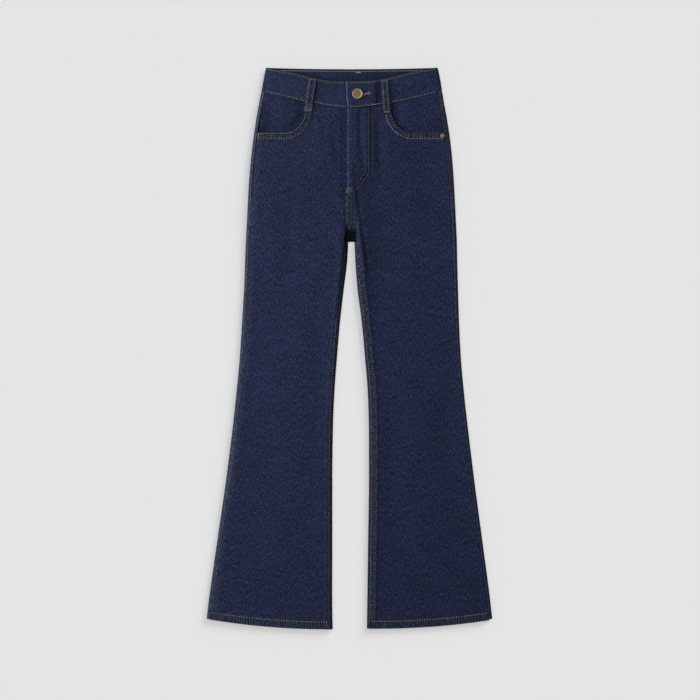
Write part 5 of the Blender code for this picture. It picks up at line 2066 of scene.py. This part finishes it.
@dataclass
class Waistband:
    """One doubled strip, folded at both sides, with its buttonhole end over its button end."""

    finishes: Finishes
    high: float = 45.0
    lane: float = 3.2
    fold_steps: int = 12
    front_above: float = 5.0                    # height above which the band counts as its front
    edge_wear: Pair = (0.36, 0.06)              # along both edges, and how much more along the upper one
    crease_wear: float = 0.42
    inside_painted_shade: Triple = (0.16, 0.42, 0.25)    # painted shade inside the back: all over, behind the front's top edge, and at the edge
    roping: Pair = (0.45, 0.20)                 # near the edges, and everywhere
    end_reach: float = 2.8                      # how far the buttonhole end's corner lies past the fly's edge
    buttonhole_x: Pair = (12.0, 19.5)
    buttonhole_share: Pair = (0.43, 0.52)
    flat: Pair = (735.0, 47.5)

    @property
    def front_top(self) -> float:
        """Height of the front half of the band."""
        return CUT.prop + 2.0 * CUT.band_wall + CUT.gap

    def relief(self, x: Number, share: Number) -> Array:
        """Soft creases along and across the front of the band.

        Args:
            x: The points' x.
            share: Their share of the way down the band.

        Returns:
            Height added in millimetres.
        """
        x = np.asarray(x, float)
        creases = sum(rise * bell((x - at) / half) * bell((share - row - tilt * (x - at)) / width)
                      for at, half, row, tilt, width, rise in BAND_CREASES)
        bow = 0.26 * np.sin(np.clip(share, 0.0, 1.0) * math.pi)
        down = share * self.high
        return creases + bow + 0.16 * Lumps(30.0, 61)(x, down) + 0.07 * Lumps(9.0, 62)(x, down)

    def crease(self, x: Array, share: Array) -> Array:
        """The pale line of a crease along the band near each side."""
        line = sum(bell((x - at) / half) * bell((share - row - tilt * (x - at)) / 0.026)
                   for at, half, row, tilt in BAND_LINES)
        return line * (0.6 + 0.4 * Lumps(5.0, 64)(x, share * self.high))

    def lift(self, x: Number) -> Array:
        """How far the buttonhole end stands up over the button end."""
        start, end = CUT.overlap_fade
        return (CUT.band_wall + CUT.gap) * (1.0 - smooth((np.asarray(x, float) - start) / (end - start)))

    def share_of(self, x: Number, down: Number) -> Array:
        """Share of the way down the front of the band."""
        return (down - CUT.band_edge(x, 1)) / (CUT.band_edge(x, 2) - CUT.band_edge(x, 1))

    def height(self, x: Number, down: Number) -> Array:
        """Height of the front of the band where the buttonhole end and the left side lie."""
        return self.front_top + self.lift(x) + self.relief(x, self.share_of(x, down))

    def height_right(self, x: Number, down: Number) -> Array:
        """Height of the front of the band on the right side."""
        return self.front_top + self.relief(x, self.share_of(x, down))

    def height_back(self, x: Number, down: Number) -> Array:
        """Height of the inside of the back of the band."""
        return CUT.prop + CUT.band_wall + 0.0 * np.asarray(x, float) + 0.0 * np.asarray(down, float)

    def height_under(self, x: Number, down: Number) -> Array:
        """Height of the outside of the back of the band."""
        return CUT.prop + 0.0 * np.asarray(x, float) + 0.0 * np.asarray(down, float)

    def front(self, x: Array, share: Array, on_left: bool) -> tuple[Array, ...]:
        """Points of a stretch of the front of the band.

        Args:
            x: The lanes' x.
            share: The rows' share of the way down the band.
            on_left: Whether the stretch has the buttonhole end.

        Returns:
            x, down, outer height, inner x and inner height.
        """
        down = CUT.band_edge(x, 1) + (CUT.band_edge(x, 2) - CUT.band_edge(x, 1)) * share
        calm = smooth((165.0 - np.abs(x)) / 20.0)
        lift = self.lift(x) if on_left else 0.0 * x
        if on_left:
            x = x - self.end_reach * (1.0 - smooth((share - 0.5) / 0.5)) * smooth((12.0 - x) / 14.0)
        z = self.front_top + lift + self.relief(x, share) * calm
        under = self.front_top + lift - CUT.band_wall
        if not on_left:
            over = smooth((x - CUT.fly_edge + 8.0) / 8.0)
            z = z - (z - self.front_top) * over
        return x + 0.0 * share, down, z, x + 0.0 * share, under + 0.0 * z

    def fold(self, side: Side, share: Array) -> tuple[Array, ...]:
        """Points round a side fold, from the front down to the back.

        Args:
            side: The wearer's side.
            share: The rows' share of the way down the band.

        Returns:
            x, down, outer height, inner x and inner height.
        """
        radius = (self.front_top - CUT.prop) / 2.0
        down = CUT.band_side[0] + (CUT.band_side[1] - CUT.band_side[0]) * share
        edge, sign = CUT.outer(side, down), side.value
        turn, lift = half_turn(self.fold_steps)
        inside = radius - CUT.band_wall
        return (edge - sign * radius * (1.0 - turn), down + 0.0 * turn,
                CUT.prop + radius * (1.0 + lift) + 0.0 * down, edge - sign * radius + sign * inside * turn,
                CUT.prop + radius + inside * lift + 0.0 * down)

    def build(self, with_pieces: Sequence[Piece]) -> Piece:
        """Build and dress the band.

        Args:
            with_pieces: The loops and the button; not used.

        Returns:
            The piece.
        """
        share = np.unique(np.concatenate((
            [0.0, 0.008, 0.02, 0.05, 0.95, 0.98, 0.992, 1.0], np.linspace(0.1, 0.9, 14),
            self.buttonhole_share)))[:, None]
        radius = (self.front_top - CUT.prop) / 2.0
        left_end = float(CUT.outer(Side.LEFT, 0.0)) - radius - 2.0
        right_end = float(CUT.outer(Side.RIGHT, 0.0)) + radius + 2.0
        left = spaced((CUT.fly_edge, 0.3), (CUT.fly_edge + 0.9, 3.0), (self.buttonhole_x[0], 2.5),
                      (self.buttonhole_x[1], self.lane), (left_end, 1.0))
        right = spaced((right_end, self.lane), (CUT.button_end - 0.9, 0.3), (CUT.button_end, 0.3))
        across = np.linspace(0.97, -0.97, 76)
        back_x = (CUT.centre + across * CUT.back_half)[None, :]
        side_down = CUT.band_side[0] + (CUT.band_side[1] - CUT.band_side[0]) * share
        back_down = side_down + CUT.back_rise * (1.0 - across[None, :] ** 2)
        back = (back_x + 0.0 * share, back_down, 0.0 * back_down + CUT.prop, back_x + 0.0 * share,
                0.0 * back_down + CUT.prop + CUT.band_wall)
        parts = [self.front(left[None, :], share, True), self.fold(Side.LEFT, share), back,
                 tuple(v[:, ::-1] for v in self.fold(Side.RIGHT, share)),
                 self.front(right[None, :], share, False)]
        x, down, z, inner_x, inner_z = joined(parts)
        cells = np.ones((x.shape[0] - 1, x.shape[1] - 1), bool)
        row0, row1 = (int(np.argmin(np.abs(share[:, 0] - s))) for s in self.buttonhole_share)
        lane0, lane1 = (int(np.argmin(np.abs(left - b))) for b in self.buttonhole_x)
        cells[row0:row1, lane0:lane1] = False
        run = run_along(x, z)
        edge = np.minimum(share, 1.0 - share) * self.high + 0.0 * x
        ripple = pucker(run, 3.2, 63)
        near_edge = smooth((4.0 - edge) / 3.0)
        z = z + near_edge * 0.10 * ripple * (z > self.front_above)
        on_front = z > self.front_above
        upper = share < 0.5
        along_edge = (self.edge_wear[0] + self.edge_wear[1] * upper) * bell(edge / 2.2) * on_front
        wear_and_shade = np.maximum(along_edge, bell(run / 1.6)) + 0.02
        wear_and_shade = wear_and_shade + self.crease_wear * self.crease(x, share + 0.0 * x) * on_front
        # Painted shade inside the back of the band, darkest just behind the front's top edge.
        behind = bell((down - CUT.band_edge(x, 1) + 2.4) / 3.2)
        all_over, hidden, at_edge = self.inside_painted_shade
        inner_wear_and_shade = np.where(on_front, wear_and_shade, -all_over - hidden * behind - at_edge * bell(edge / 1.5))
        cloth = Cloth("waistband_cloth", x, down, z, inner_z, inner_x=inner_x, cells=cells, wear_and_shade=wear_and_shade,
                      inner_wear_and_shade=inner_wear_and_shade, roping=near_edge * self.roping[0] + self.roping[1], across=run,
                      rim=1.1)
        return dress_cloth(cloth, self.finishes, "waistband", self.flat)


@dataclass
class BeltLoop:
    """A sewn strip; a front one bows up over the band, a back one lies flat under it."""

    node: str
    ends: tuple[float, float, float, float]     # x and down of its top end, then of its low end
    width: float
    rubbed: float
    finishes: Finishes
    level: float = 7.8
    bulge: float = 0.9
    bow: tuple[float, ...] = (0.0, 0.55, 0.95, 1.0, 0.95, 0.55, 0.0, 0.0)
    rows: int = 46
    edge_wear: Pair = (0.36, 0.45)  # along its edges and at its ends

    @property
    def on_front(self) -> bool:
        """Whether the loop is on the front of the garment."""
        return "front" in self.node

    def heights(self, share: Array) -> Array:
        """Height of the loop's underside along it.

        Args:
            share: Share of the way along the loop.

        Returns:
            Height in millimetres.
        """
        if not self.on_front:
            return CUT.clear + 0.0 * share
        stations = np.linspace(0.0, 1.0, len(self.bow))
        return self.level + self.bulge * monotone(stations, np.array(self.bow), share)

    def along(self, x: Number, down: Number) -> tuple[Array, Array]:
        """Share of the way along the loop, and the distance from its middle line.

        Args:
            x: The points' x.
            down: Their distance down.

        Returns:
            The shares and the distances.
        """
        x0, down0, x1, down1 = self.ends
        share = (down - down0) / (down1 - down0)
        return share, x - x0 - (x1 - x0) * share

    def height(self, x: Number, down: Number) -> Array:
        """Height of the loop's upper face.

        Args:
            x: The points' x.
            down: Their distance down.

        Returns:
            Height in millimetres.
        """
        share, off = self.along(np.asarray(x, float), np.asarray(down, float))
        crown = 0.28 * (1.0 - (2.0 * off / self.width) ** 2)
        ripple = 0.10 * pucker(share * 62.0, 3.6, 71) * smooth((np.abs(off) - 1.0) / 3.0)
        return self.heights(np.clip(share, 0.0, 1.0)) + CUT.light_wall + crown + ripple

    def build(self) -> Piece:
        """Build and dress the loop.

        Returns:
            The piece.
        """
        x0, down0, x1, down1 = self.ends
        share = np.unique(np.concatenate(([0.005, 0.015, 0.985, 0.995], np.linspace(0.0, 1.0, self.rows))))
        across = np.array([-0.5, -0.48, -0.44, -0.36, -0.26, -0.13, 0.0, 0.13, 0.26, 0.36, 0.44, 0.48, 0.5])
        share, across = share[:, None], across[None, :] * self.width
        x = x0 + (x1 - x0) * share + across
        down = down0 + (down1 - down0) * share + 0.0 * across
        low = self.heights(share) + 0.0 * across
        if self.on_front:
            outer, inner = self.height(x, down), low
        else:
            outer, inner = low, low + CUT.light_wall - 0.2
        edge = self.width / 2.0 - np.abs(across) + 0.0 * share
        ends = np.minimum(share, 1.0 - share) * (down1 - down0) + 0.0 * across
        at_edge, at_end = self.edge_wear
        wear_and_shade = np.maximum(at_edge * bell(edge / 1.4), at_end * bell(ends / 1.2)) + self.rubbed
        cloth = Cloth(self.node.replace("belt_loop_", "belt_loop_cloth_"), x, down, outer, inner, wear_and_shade=wear_and_shade,
                      roping=-0.7, rim=0.5)
        length = math.hypot(x1 - x0, down1 - down0)
        return dress_cloth(cloth, self.finishes, self.node, (self.width, length + 6.0))


# ---- Zip and metal ----
def select_end(piece: Piece, upper: bool) -> None:
    """Select only the highest or the lowest level face of a piece in edit mode.

    Args:
        piece: The piece.
        upper: Whether it is the highest face.
    """
    bpy.ops.mesh.select_all(action="DESELECT")
    mesh = bmesh.from_edit_mesh(piece.data)
    sign = 1.0 if upper else -1.0
    level = [face for face in mesh.faces if face.normal.z * sign > 0.99]
    end = max(level, key=lambda face: (round(face.calc_center_median().z * sign, 6), -face.calc_area()))
    end.select = True
    bmesh.update_edit_mesh(piece.data)


@dataclass
class TurnedMetal:
    """A round metal piece: a disc whose upper and lower faces are drawn on in steps."""

    name: str
    node: str
    at: Pair
    radius: float
    low: float                      # height of the disc's lower face
    depth: float
    upper_steps: tuple[Pair, ...]   # radius and rise of each step
    lower_steps: tuple[Pair, ...]
    bevel: float
    material: Material
    sides: int = 64

    def build(self) -> Piece:
        """Model and dress the piece.

        Returns:
            The piece.
        """
        deselect()
        x, y, z = laid(*(np.array([v]) for v in (*self.at, self.low + self.depth / 2.0)))[0]
        bpy.ops.mesh.primitive_cylinder_add(vertices=self.sides, radius=self.radius * MM,
                                            depth=self.depth * MM, location=(x, y, z))
        piece = bpy.context.object
        bpy.ops.object.mode_set(mode="EDIT")
        bpy.context.scene.tool_settings.transform_pivot_point = "MEDIAN_POINT"
        for steps, upper in ((self.upper_steps, True), (self.lower_steps, False)):
            select_end(piece, upper)
            radius = self.radius
            for target, rise in steps:
                draw_out((0.0, 0.0, rise * MM), (target / radius, target / radius, 1.0))
                radius = target
        bpy.ops.object.mode_set(mode="OBJECT")
        bpy.ops.object.transform_apply(location=True, rotation=True, scale=True)
        bevel_edges(piece, self.bevel, 3, limit_method="ANGLE", angle_limit=math.radians(28.0))
        bpy.ops.object.shade_smooth_by_angle(angle=math.radians(40.0))
        piece.name = piece.data.name = self.name
        dress(piece, self.material)
        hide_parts(self.node)
        return piece


@dataclass
class Zip:
    """The closed zip under the fly: woven tape, teeth and slider."""

    finishes: Finishes
    x: Pair = (2.5, 22.5)
    down: Pair = (77.0, 205.0)
    thick: float = 1.0
    tape: float = 0.45
    tooth: Triple = (3.0, 0.8, 0.9)
    pitch: float = 1.35
    body: Triple = (8.0, 7.0, 1.0)  # the slider's, across, along and up
    pull: tuple[Pair, ...] = (      # lengths and widenings of its pull's steps
        (1.0, 0.45), (9.0, 1.0), (2.0, 1.5), (8.0, 1.0), (1.0, 0.7))

    def height(self, x: Number, down: Number) -> Array:
        """Height of the middle of the tape."""
        return CUT.top(x, down) - CUT.wall - CUT.gap - self.thick / 2.0

    def teeth(self) -> Piece:
        """One tooth, modelled once, in two rows that mesh.

        Returns:
            The piece.
        """
        deselect()
        bpy.ops.mesh.primitive_cube_add(size=1.0, scale=tuple(v * MM for v in self.tooth))
        tooth = bpy.context.object
        bpy.ops.object.transform_apply(location=False, rotation=False, scale=True)
        bevel_edges(tooth, 0.2, 1)
        shape, faces = taken_apart(tooth)
        down = np.arange(self.down[0] + 6.0, self.down[1] - 2.0, self.pitch)
        x = sum(self.x) / 2.0 + np.where(np.arange(len(down)) % 2, 0.7, -0.7)
        places = laid(x, down, self.height(x, down))
        points = (places[:, None, :] + shape[None, :, :]).reshape(-1, 3)
        every = [tuple(k + i * len(shape) for k in face) for i in range(len(places)) for face in faces]
        piece = new_piece("zip_teeth", points, every)
        dress(piece, self.finishes.button_metal)
        return piece

    def slider(self) -> Piece:
        """The slider at the top of the zip, with its flat pull hanging down.

        Returns:
            The piece.
        """
        deselect()
        x, down = sum(self.x) / 2.0, self.down[0] + 5.0
        place = laid(*(np.array([v]) for v in (x, down, float(self.height(x, down)) + 0.05)))[0]
        bpy.ops.mesh.primitive_cube_add(size=1.0, location=place, scale=tuple(v * MM for v in self.body))
        piece = bpy.context.object
        bpy.ops.object.transform_apply(location=True, rotation=True, scale=True)
        bpy.ops.object.mode_set(mode="EDIT")
        select_facing(piece, (0.0, -1.0, 0.0))
        for length, factor in self.pull:
            draw_out((0.0, -length * MM, 0.0), (factor, 1.0, 0.98))
        bpy.ops.object.mode_set(mode="OBJECT")
        bevel_edges(piece, 0.25, 2)
        piece.name = piece.data.name = "zip_slider"
        dress(piece, self.finishes.button_metal)
        return piece

    def build(self) -> Piece:
        """Build and dress the zip.

        Returns:
            The tape, which stands for the whole zip.
        """
        x, down, size = upright_strip(self.x, self.down, 13, 60)
        middle = self.height(x, down)
        half = self.tape / 2.0
        piece = Cloth("zip_tape", x, down, middle + half, middle - half, rim=0.18).build()
        dress(piece, self.finishes.zip_tape)
        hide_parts("zip")
        self.teeth()
        self.slider()
        return piece


# ---- All the sewing ----
def resting(x: Array, down: Array) -> Array:
    """Height of the underside of a flat piece that rests on the surface."""
    return np.full(np.broadcast(x, down).shape, CUT.clear)


@dataclass
class Stitching:
    """The rows of stitches and the bartacks of every panel."""

    finishes: Finishes
    band: Waistband
    loops: Sequence[BeltLoop]
    edge: float = 1.8                       # an edge row's distance from its edge
    second: float = 8.3                     # a second row's distance
    mouth_edge_shade: Pair = (0.45, -0.5)   # right and left, of a mouth's edge row; the left one's is dimmed as painted shade
    mouth_row_shade: Pair = (0.4, 0.9)      # of its second row
    steep_end: float = 121.0                # down to where the right mouth's rows are darker
    steep_dark: float = 0.75
    side_shade: Pair = (-0.25, -0.05)
    inseam_shade: Pair = (0.05, 0.45)

    def on_band(self) -> Piece:
        """Rows along both edges of the band, outside and inside, the buttonhole and the loops' bartacks.

        Returns:
            The piece.
        """
        sew = Sewing("waistband_stitches", 101)
        band = self.band
        left = np.linspace(CUT.fly_edge + 2.0, 164.0, 120)
        right = np.linspace(-158.0, CUT.fly_edge - 1.5, 120)
        for x, height in ((left, band.height), (right, band.height_right)):
            inset = 3.7 - 0.7 * bell((x - CUT.centre) / 50.0) - 1.3 * smooth((np.abs(x) - 110.0) / 50.0)
            sew.seam(x, CUT.band_edge(x, 1) + inset, height, shade=0.45, hole_shadows=True)
            sew.seam(x, CUT.band_edge(x, 2) - 0.9, height, shade=0.7, hole_shadows=True)
        across = np.linspace(-1.0, 1.0, 160)
        x = CUT.centre + across * CUT.back_half
        rise = CUT.back_rise * (1.0 - across ** 2)
        sew.seam(x, CUT.band_side[0] + 4.3 + rise, band.height_back, pitch=2.8, length=1.6, shade=1.0,
                 hole_shadows=True)
        sew.seam(x, CUT.band_side[1] - 2.0 + rise, band.height_back, shade=0.35)
        for inset in (CUT.band_side[0] + 2.8, CUT.band_side[1] - 2.0):
            sew.seam(x, inset + rise, band.height_under, up=-1.0, lift=-0.3)
        sew.bar(12.3, 8.2, 21.7, 8.4, band.height_back, across=2.1, shade=1.0, width=0.6, lift=0.4)
        for sign in (-0.8, 0.8):
            sew.bar(24.4, 51.0 + sign, 35.4, 48.1 + sign, band.height, across=1.6, shade=1.45, pitch=0.5,
                    width=0.6)
            sew.bar(35.2, 47.9 + sign * 0.8, 39.2, 47.1 + sign * 2.6, band.height, across=1.4, shade=1.1,
                    width=0.6)
        sew.bar(43.5, float(CUT.band_edge(43.5, 2)) - 1.0, 57.5, float(CUT.band_edge(57.5, 2)) - 1.0,
                band.height, across=2.2, shade=1.12, pitch=1.5, width=0.9, lift=0.3)
        return sew.build(self.finishes)

    def on_loops(self) -> Piece:
        """Two rows along each loop and a bartack at each end.

        Returns:
            The piece.
        """
        sew = Sewing("belt_loop_stitches", 102)
        for loop in self.loops:
            x0, down0, x1, down1 = loop.ends
            up = 1.0 if loop.on_front else -1.0
            height = loop.height if loop.on_front else resting
            for off in (-loop.width / 2.0 + 3.0, loop.width / 2.0 - 3.0):
                sew.seam([x0 + off, x1 + off], [down0 + 2.0, down1 - 2.0], height, shade=0.35, up=up,
                         lift=0.1 if loop.on_front else -0.3, hole_shadows=loop.on_front)
            rows = (1.4, 0.2), (-3.6, 0.6)
            if loop.node == "belt_loop_front_right":
                rows += (-6.6, 0.3), (-9.8, 0.3), (-13.2, 0.2)
            for along, shade in rows:
                half = loop.width / 2.0 - 0.9
                down = (down0 if along > 0.0 else down1) + along
                x = x0 + (x1 - x0) * (down - down0) / (down1 - down0)
                sew.bar(x - half, down, x + half, down, height, across=1.8, shade=shade, up=up,
                        pitch=0.42 if along > -5.0 else 1.9, width=0.5 if along > -5.0 else 1.0,
                        lift=0.2 if loop.on_front else -0.1)
        return sew.build(self.finishes)

    def fly(self, sew: Sewing, front: Front) -> None:
        """The double J, its bartack and the centre seam.

        Args:
            sew: The front's stitches.
            front: The left front.
        """
        reach = np.linspace(0.0, 1.0, 60)
        for x, end, drop in ((36.7, CUT.fly_end - 0.8, 38.0), (30.4, CUT.fly_end - 7.4, 34.0)):
            curve_x = x + (CUT.fly_edge + 1.2 - x) * reach
            curve_down = end - drop * ((curve_x - CUT.fly_edge) / (x - CUT.fly_edge)) ** 2
            sew.seam(np.append(x, curve_x), np.append(float(CUT.band_edge(x, 2)) + 1.4, curve_down),
                     front.height, shade=-0.12, hole_shadows=True)
        for x0, down0, x1, down1, shade in ((-3.4, 227.0, 3.0, 226.0, 1.1), (-2.6, 230.6, 4.0, 230.0, 1.7),
                                            (-3.4, 234.4, 2.6, 233.6, 1.1), (-4.6, 227.6, -4.6, 235.4, 0.8)):
            sew.bar(x0, down0, x1, down1, front.height, across=1.5, shade=shade, width=0.45, pitch=0.62)
        for x, down0, down1, shade in ((-4.4, 238.0, 298.0, 0.3), (3.8, 242.0, 298.0, -0.2)):
            sew.seam([x, x], [down0, down1], front.height, shade=shade, hole_shadows=True)

    def on_front(self, front: Front) -> Piece:
        """Pocket mouth, side, inseam and hem of a front, and the fly on the left one.

        Args:
            front: The front.

        Returns:
            The piece.
        """
        side, sign = front.side, front.side.value
        sew = Sewing(f"{side.word}_front_stitches", 103 + int(sign))
        mouth_x, mouth_down, normal_x, normal_down = CUT.mouth(side, 160)
        for inset, shade in ((self.edge, side.pick(*self.mouth_edge_shade)),
                             (CUT.mouth_band[0] - 1.0, side.pick(*self.mouth_row_shade))):
            x, down = mouth_x + normal_x * inset, mouth_down + normal_down * inset
            below = down > CUT.band_edge(x, 2) + 1.0
            steep = below & (down < self.steep_end) & (side is Side.RIGHT)
            for part, tone in ((below & ~steep, shade), (steep, shade - self.steep_dark)):
                if part.any():
                    sew.seam(x[part], down[part], front.height, shade=tone, hole_shadows=True)
        down = np.linspace(CUT.yoke_side + 3.0, 238.0, 60)
        sew.seam(CUT.side_seam(side, down) + sign * 1.2, down, CUT.top, shade=side.pick(*self.side_shade),
                 hole_shadows=True)
        down = np.linspace(side.pick(470.0, 396.0), CUT.hem_corner + 6.0, 240)
        sew.seam(CUT.inseam(side, down) + sign * side.pick(0.3, 0.7), down, front.height,
                 shade=side.pick(*self.inseam_shade), hole_shadows=True)
        x = np.linspace(float(CUT.side_seam(side, CUT.hem_corner)) - sign * 1.0,
                        float(CUT.inseam(side, CUT.hem_corner)) + sign * 1.0, 120)
        sew.seam(x, CUT.hem_line(side, x) - CUT.hem_row, front.height, shade=0.9, width=1.4, hole_shadows=True)
        if side is Side.LEFT:
            self.fly(sew, front)
        else:
            x = float(CUT.side_seam(side, CUT.mouth_depth))
            sew.bar(x + 0.8, CUT.mouth_depth + 1.4, x + 8.0, CUT.mouth_depth + 2.0, front.height, across=1.8,
                    shade=0.8)
            sew.bar(x + 1.6, CUT.mouth_depth + 1.0, x + 1.6, CUT.mouth_depth + 8.0, front.height, across=1.8,
                    shade=0.8)
        return sew.build(self.finishes)

    def on_back(self, side: Side) -> Piece:
        """Yoke seam, centre seam, patch pocket and hem, with the rows' ends past the side seam.

        Args:
            side: The wearer's side.

        Returns:
            The piece.
        """
        sign = side.value
        sew = Sewing(f"{side.word}_back_stitches", 106 + int(sign))
        under = {"height": CUT.under, "up": -1.0, "lift": -0.3}
        x = np.linspace(CUT.centre + sign * 2.5, float(CUT.outer(side, CUT.yoke_side)) - sign * 6.0, 100)
        for drop in (1.8, self.second):
            sew.seam(x, yoke_line(side, x) + drop, **under)
            self.row_end(sew, side, CUT.yoke_side + drop, 2.6, 0.45)
        if side is Side.LEFT:
            for inset in (2.0, self.second):
                sew.seam([CUT.centre + inset] * 2, [122.0, CUT.crotch - 4.0], **under)
        patch = BackPocket(side, self.finishes)
        for inset in (1.8, 7.4):
            x, down = patch.outline(inset)
            sew.seam(x, down, resting, up=-1.0, lift=-0.38)
        for inset in (1.8, 12.0):
            half = patch.half_top - 1.8
            middle = CUT.centre + sign * patch.middle
            sew.seam([middle - half, middle + half], [patch.top + inset] * 2, resting, up=-1.0, lift=-0.38)
        x = np.linspace(float(CUT.outer(side, CUT.hem_corner)) - sign * 5.0,
                        float(CUT.inner(side, CUT.hem_corner)) + sign * 5.0, 120)
        sew.seam(x, CUT.hem_line(side, x) - CUT.hem_row, **under)
        self.row_end(sew, side, CUT.hem_corner - CUT.hem_row + 1.6, 2.4, 0.5)
        return sew.build(self.finishes)

    def row_end(self, sew: Sewing, side: Side, down: float, inset: float, shade: float) -> None:
        """A back row's end, which shows on the front face past the side seam."""
        x = np.linspace(float(CUT.side_seam(side, down)) + side.value * 0.8,
                        float(CUT.outer(side, down)) - side.value * inset, 8)
        sew.seam(x, np.full(8, down), CUT.top, shade=shade)


# ---- Stage ----
@dataclass(frozen=True)
class SoftLight:
    """A broad distant light on the floor alone or the garment alone, by the brightness that it gives."""

    name: str
    azimuth: float  # degrees from +x towards +y
    elevation: float
    spread: float
    share: float
    on_floor: bool


@dataclass(frozen=True)
class Panel:
    """A square soft light near the garment, which it lights alone, by the brightness at the middle."""

    name: str
    place: Triple
    size: float
    share: float


@dataclass
class Stage:
    """Pale floor, soft light and the camera straight above."""

    floor: float = 60.0
    sky: float = 0.11
    backdrop: float = 0.776
    lens: float = 120.0
    sensor: float = 36.0
    frame_width: float = 1.3215
    middle: Pair = (0.00096, -0.0026)
    level: float = 0.006    # height at which the frame is that wide
    lights: tuple[SoftLight, ...] = (
        SoftLight("floor_overhead_light", 120.0, 84.0, 34.0, 0.525, True),
        SoftLight("floor_side_light", 48.0, 20.0, 26.0, 0.19, True),
        SoftLight("floor_dome_light", 90.0, 89.0, 170.0, 0.15, True),
        SoftLight("overhead_light", 140.0, 62.0, 70.0, 0.26, False),
    )
    panels: tuple[Panel, ...] = (
        Panel("high_panel", (-1.7, 0.65, 1.25), 0.18, 0.27),
        Panel("low_panel", (-1.7, 0.70, 0.36), 0.45, 0.21),
    )

    def place_light(self, data: bpy.types.Light, towards: Vector, floor: Piece, on_floor: bool) -> None:
        """Put a light in place, aimed at the middle.

        Args:
            data: The light.
            towards: Where it stands.
            floor: The floor.
            on_floor: Whether it lights the floor alone rather than the garment alone.
        """
        light = bpy.data.objects.new(data.name, data)
        bpy.context.collection.objects.link(light)
        light.location = towards
        light.rotation_euler = towards.to_track_quat("Z", "Y").to_euler()
        lit = bpy.data.collections.new(data.name)
        lit.objects.link(floor)
        if not on_floor:
            lit.collection_objects[0].light_linking.link_state = "EXCLUDE"
        light.light_linking.receiver_collection = lit

    def add_lights(self, floor: Piece) -> None:
        """Add the distant lights and the panels."""
        for spec in self.lights:
            data = bpy.data.lights.new(spec.name, "SUN")
            data.angle = math.radians(spec.spread)
            azimuth, elevation = math.radians(spec.azimuth), math.radians(spec.elevation)
            data.energy = math.pi * spec.share / math.sin(elevation)
            towards = Vector((math.cos(azimuth) * math.cos(elevation),
                              math.sin(azimuth) * math.cos(elevation), math.sin(elevation)))
            self.place_light(data, towards * 3.0, floor, spec.on_floor)
        for panel in self.panels:
            data = bpy.data.lights.new(panel.name, "AREA")
            place = Vector(panel.place)
            data.size = panel.size
            data.energy = panel.share * math.pi ** 2 * place.length ** 3 / place.z
            self.place_light(data, place, floor, False)

    def build(self) -> None:
        """Lay the floor, set the lights and the camera."""
        deselect()
        bpy.ops.mesh.primitive_plane_add(size=self.floor)
        floor = bpy.context.object
        floor.name = floor.data.name = "floor"
        floor.data.materials.append(PaleFloor().make())
        self.add_lights(floor)
        world = bpy.data.worlds.new("soft_sky")
        world.use_nodes = True
        tree = world.node_tree
        sky = tree.nodes["Background"]
        sky.inputs["Color"].default_value = (1.0, 1.0, 1.0, 1.0)
        rays = tree.nodes.new("ShaderNodeLightPath")
        mix = tree.nodes.new("ShaderNodeMix")
        mix.inputs[2].default_value, mix.inputs[3].default_value = self.sky, self.backdrop
        tree.links.new(rays.outputs["Is Camera Ray"], mix.inputs[0])
        tree.links.new(mix.outputs[0], sky.inputs["Strength"])
        bpy.context.scene.world = world
        data = bpy.data.cameras.new("camera")
        data.lens, data.sensor_width = self.lens, self.sensor
        data.clip_end = 200.0
        camera = bpy.data.objects.new("camera", data)
        bpy.context.collection.objects.link(camera)
        camera.location = (*self.middle, self.frame_width * self.lens / self.sensor + self.level)
        bpy.context.scene.camera = camera
        bpy.context.scene.view_settings.view_transform = "Standard"


# ---- The whole garment ----
# Belt loops: node, x and down of the top end and of the low end, width, and how far they are rubbed
LOOPS = (
    ("belt_loop_front_right", (-69.0, 21.2, -78.0, 83.6), 15.2, 0.03),
    ("belt_loop_front_left", (67.0, 22.6, 71.3, 86.8), 13.8, 0.15),
    ("belt_loop_back_right", (-113.0, 3.0, -113.0, 66.0), 13.0, 0.03),
    ("belt_loop_back_centre", (3.8, 5.0, 3.8, 68.0), 13.0, 0.03),
    ("belt_loop_back_left", (121.0, 3.0, 121.0, 66.0), 13.0, 0.03),
)
BUTTON_AT = (15.5, 49.1)
BUTTON_BASE = 7.8
SHANK = 3.1
RIVET_AT = (175.6, 128.0)


def main() -> None:
    """Build every piece in order."""
    logging.basicConfig(level=logging.INFO, format="%(message)s")
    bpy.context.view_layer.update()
    Stage().build()
    finishes = Finishes()
    band = Waistband(finishes)
    loops = [BeltLoop(node, ends, width, rubbed, finishes) for node, ends, width, rubbed in LOOPS]
    stitching = Stitching(finishes, band, loops)
    for side in Side:
        front = Front(side, finishes)
        front.build([stitching.on_front(front)])
        Facing(side, finishes).build()
        BackPocket(side, finishes).build()
        Back(side, finishes).build([stitching.on_back(side)])
        Yoke(side, finishes).build()
    ForkSeam(finishes).build()
    for loop in loops:
        loop.build()
    Zip(finishes).build()
    button = TurnedMetal(
        "shank_button", "button", BUTTON_AT, radius=10.0, low=BUTTON_BASE + SHANK, depth=1.5,
        upper_steps=((9.3, 0.7), (8.3, 0.0), (7.5, -0.62), (6.9, -0.08), (2.6, 0.22), (1.2, 0.06)),
        lower_steps=((8.8, 0.0), (8.4, 0.3), (3.4, 0.0), (2.6, -0.3), (1.6, 0.0), (1.6, -SHANK)),
        bevel=0.22, material=finishes.button_metal).build()
    rivet_base = float(CUT.top(*RIVET_AT)) + CUT.mouth_band[1] + CUT.gap
    TurnedMetal(
        "rivet", "rivet_left", RIVET_AT, radius=4.0, low=rivet_base, depth=0.4,
        upper_steps=((3.5, 0.5), (2.5, 0.0), (2.1, -0.35), (1.7, 0.0), (1.4, 0.2), (0.8, 0.06)),
        lower_steps=(), bevel=0.12, material=finishes.rivet_metal, sides=40).build()
    band.build([stitching.on_band(), stitching.on_loops(), button])


if __name__ == "__main__":
    main()
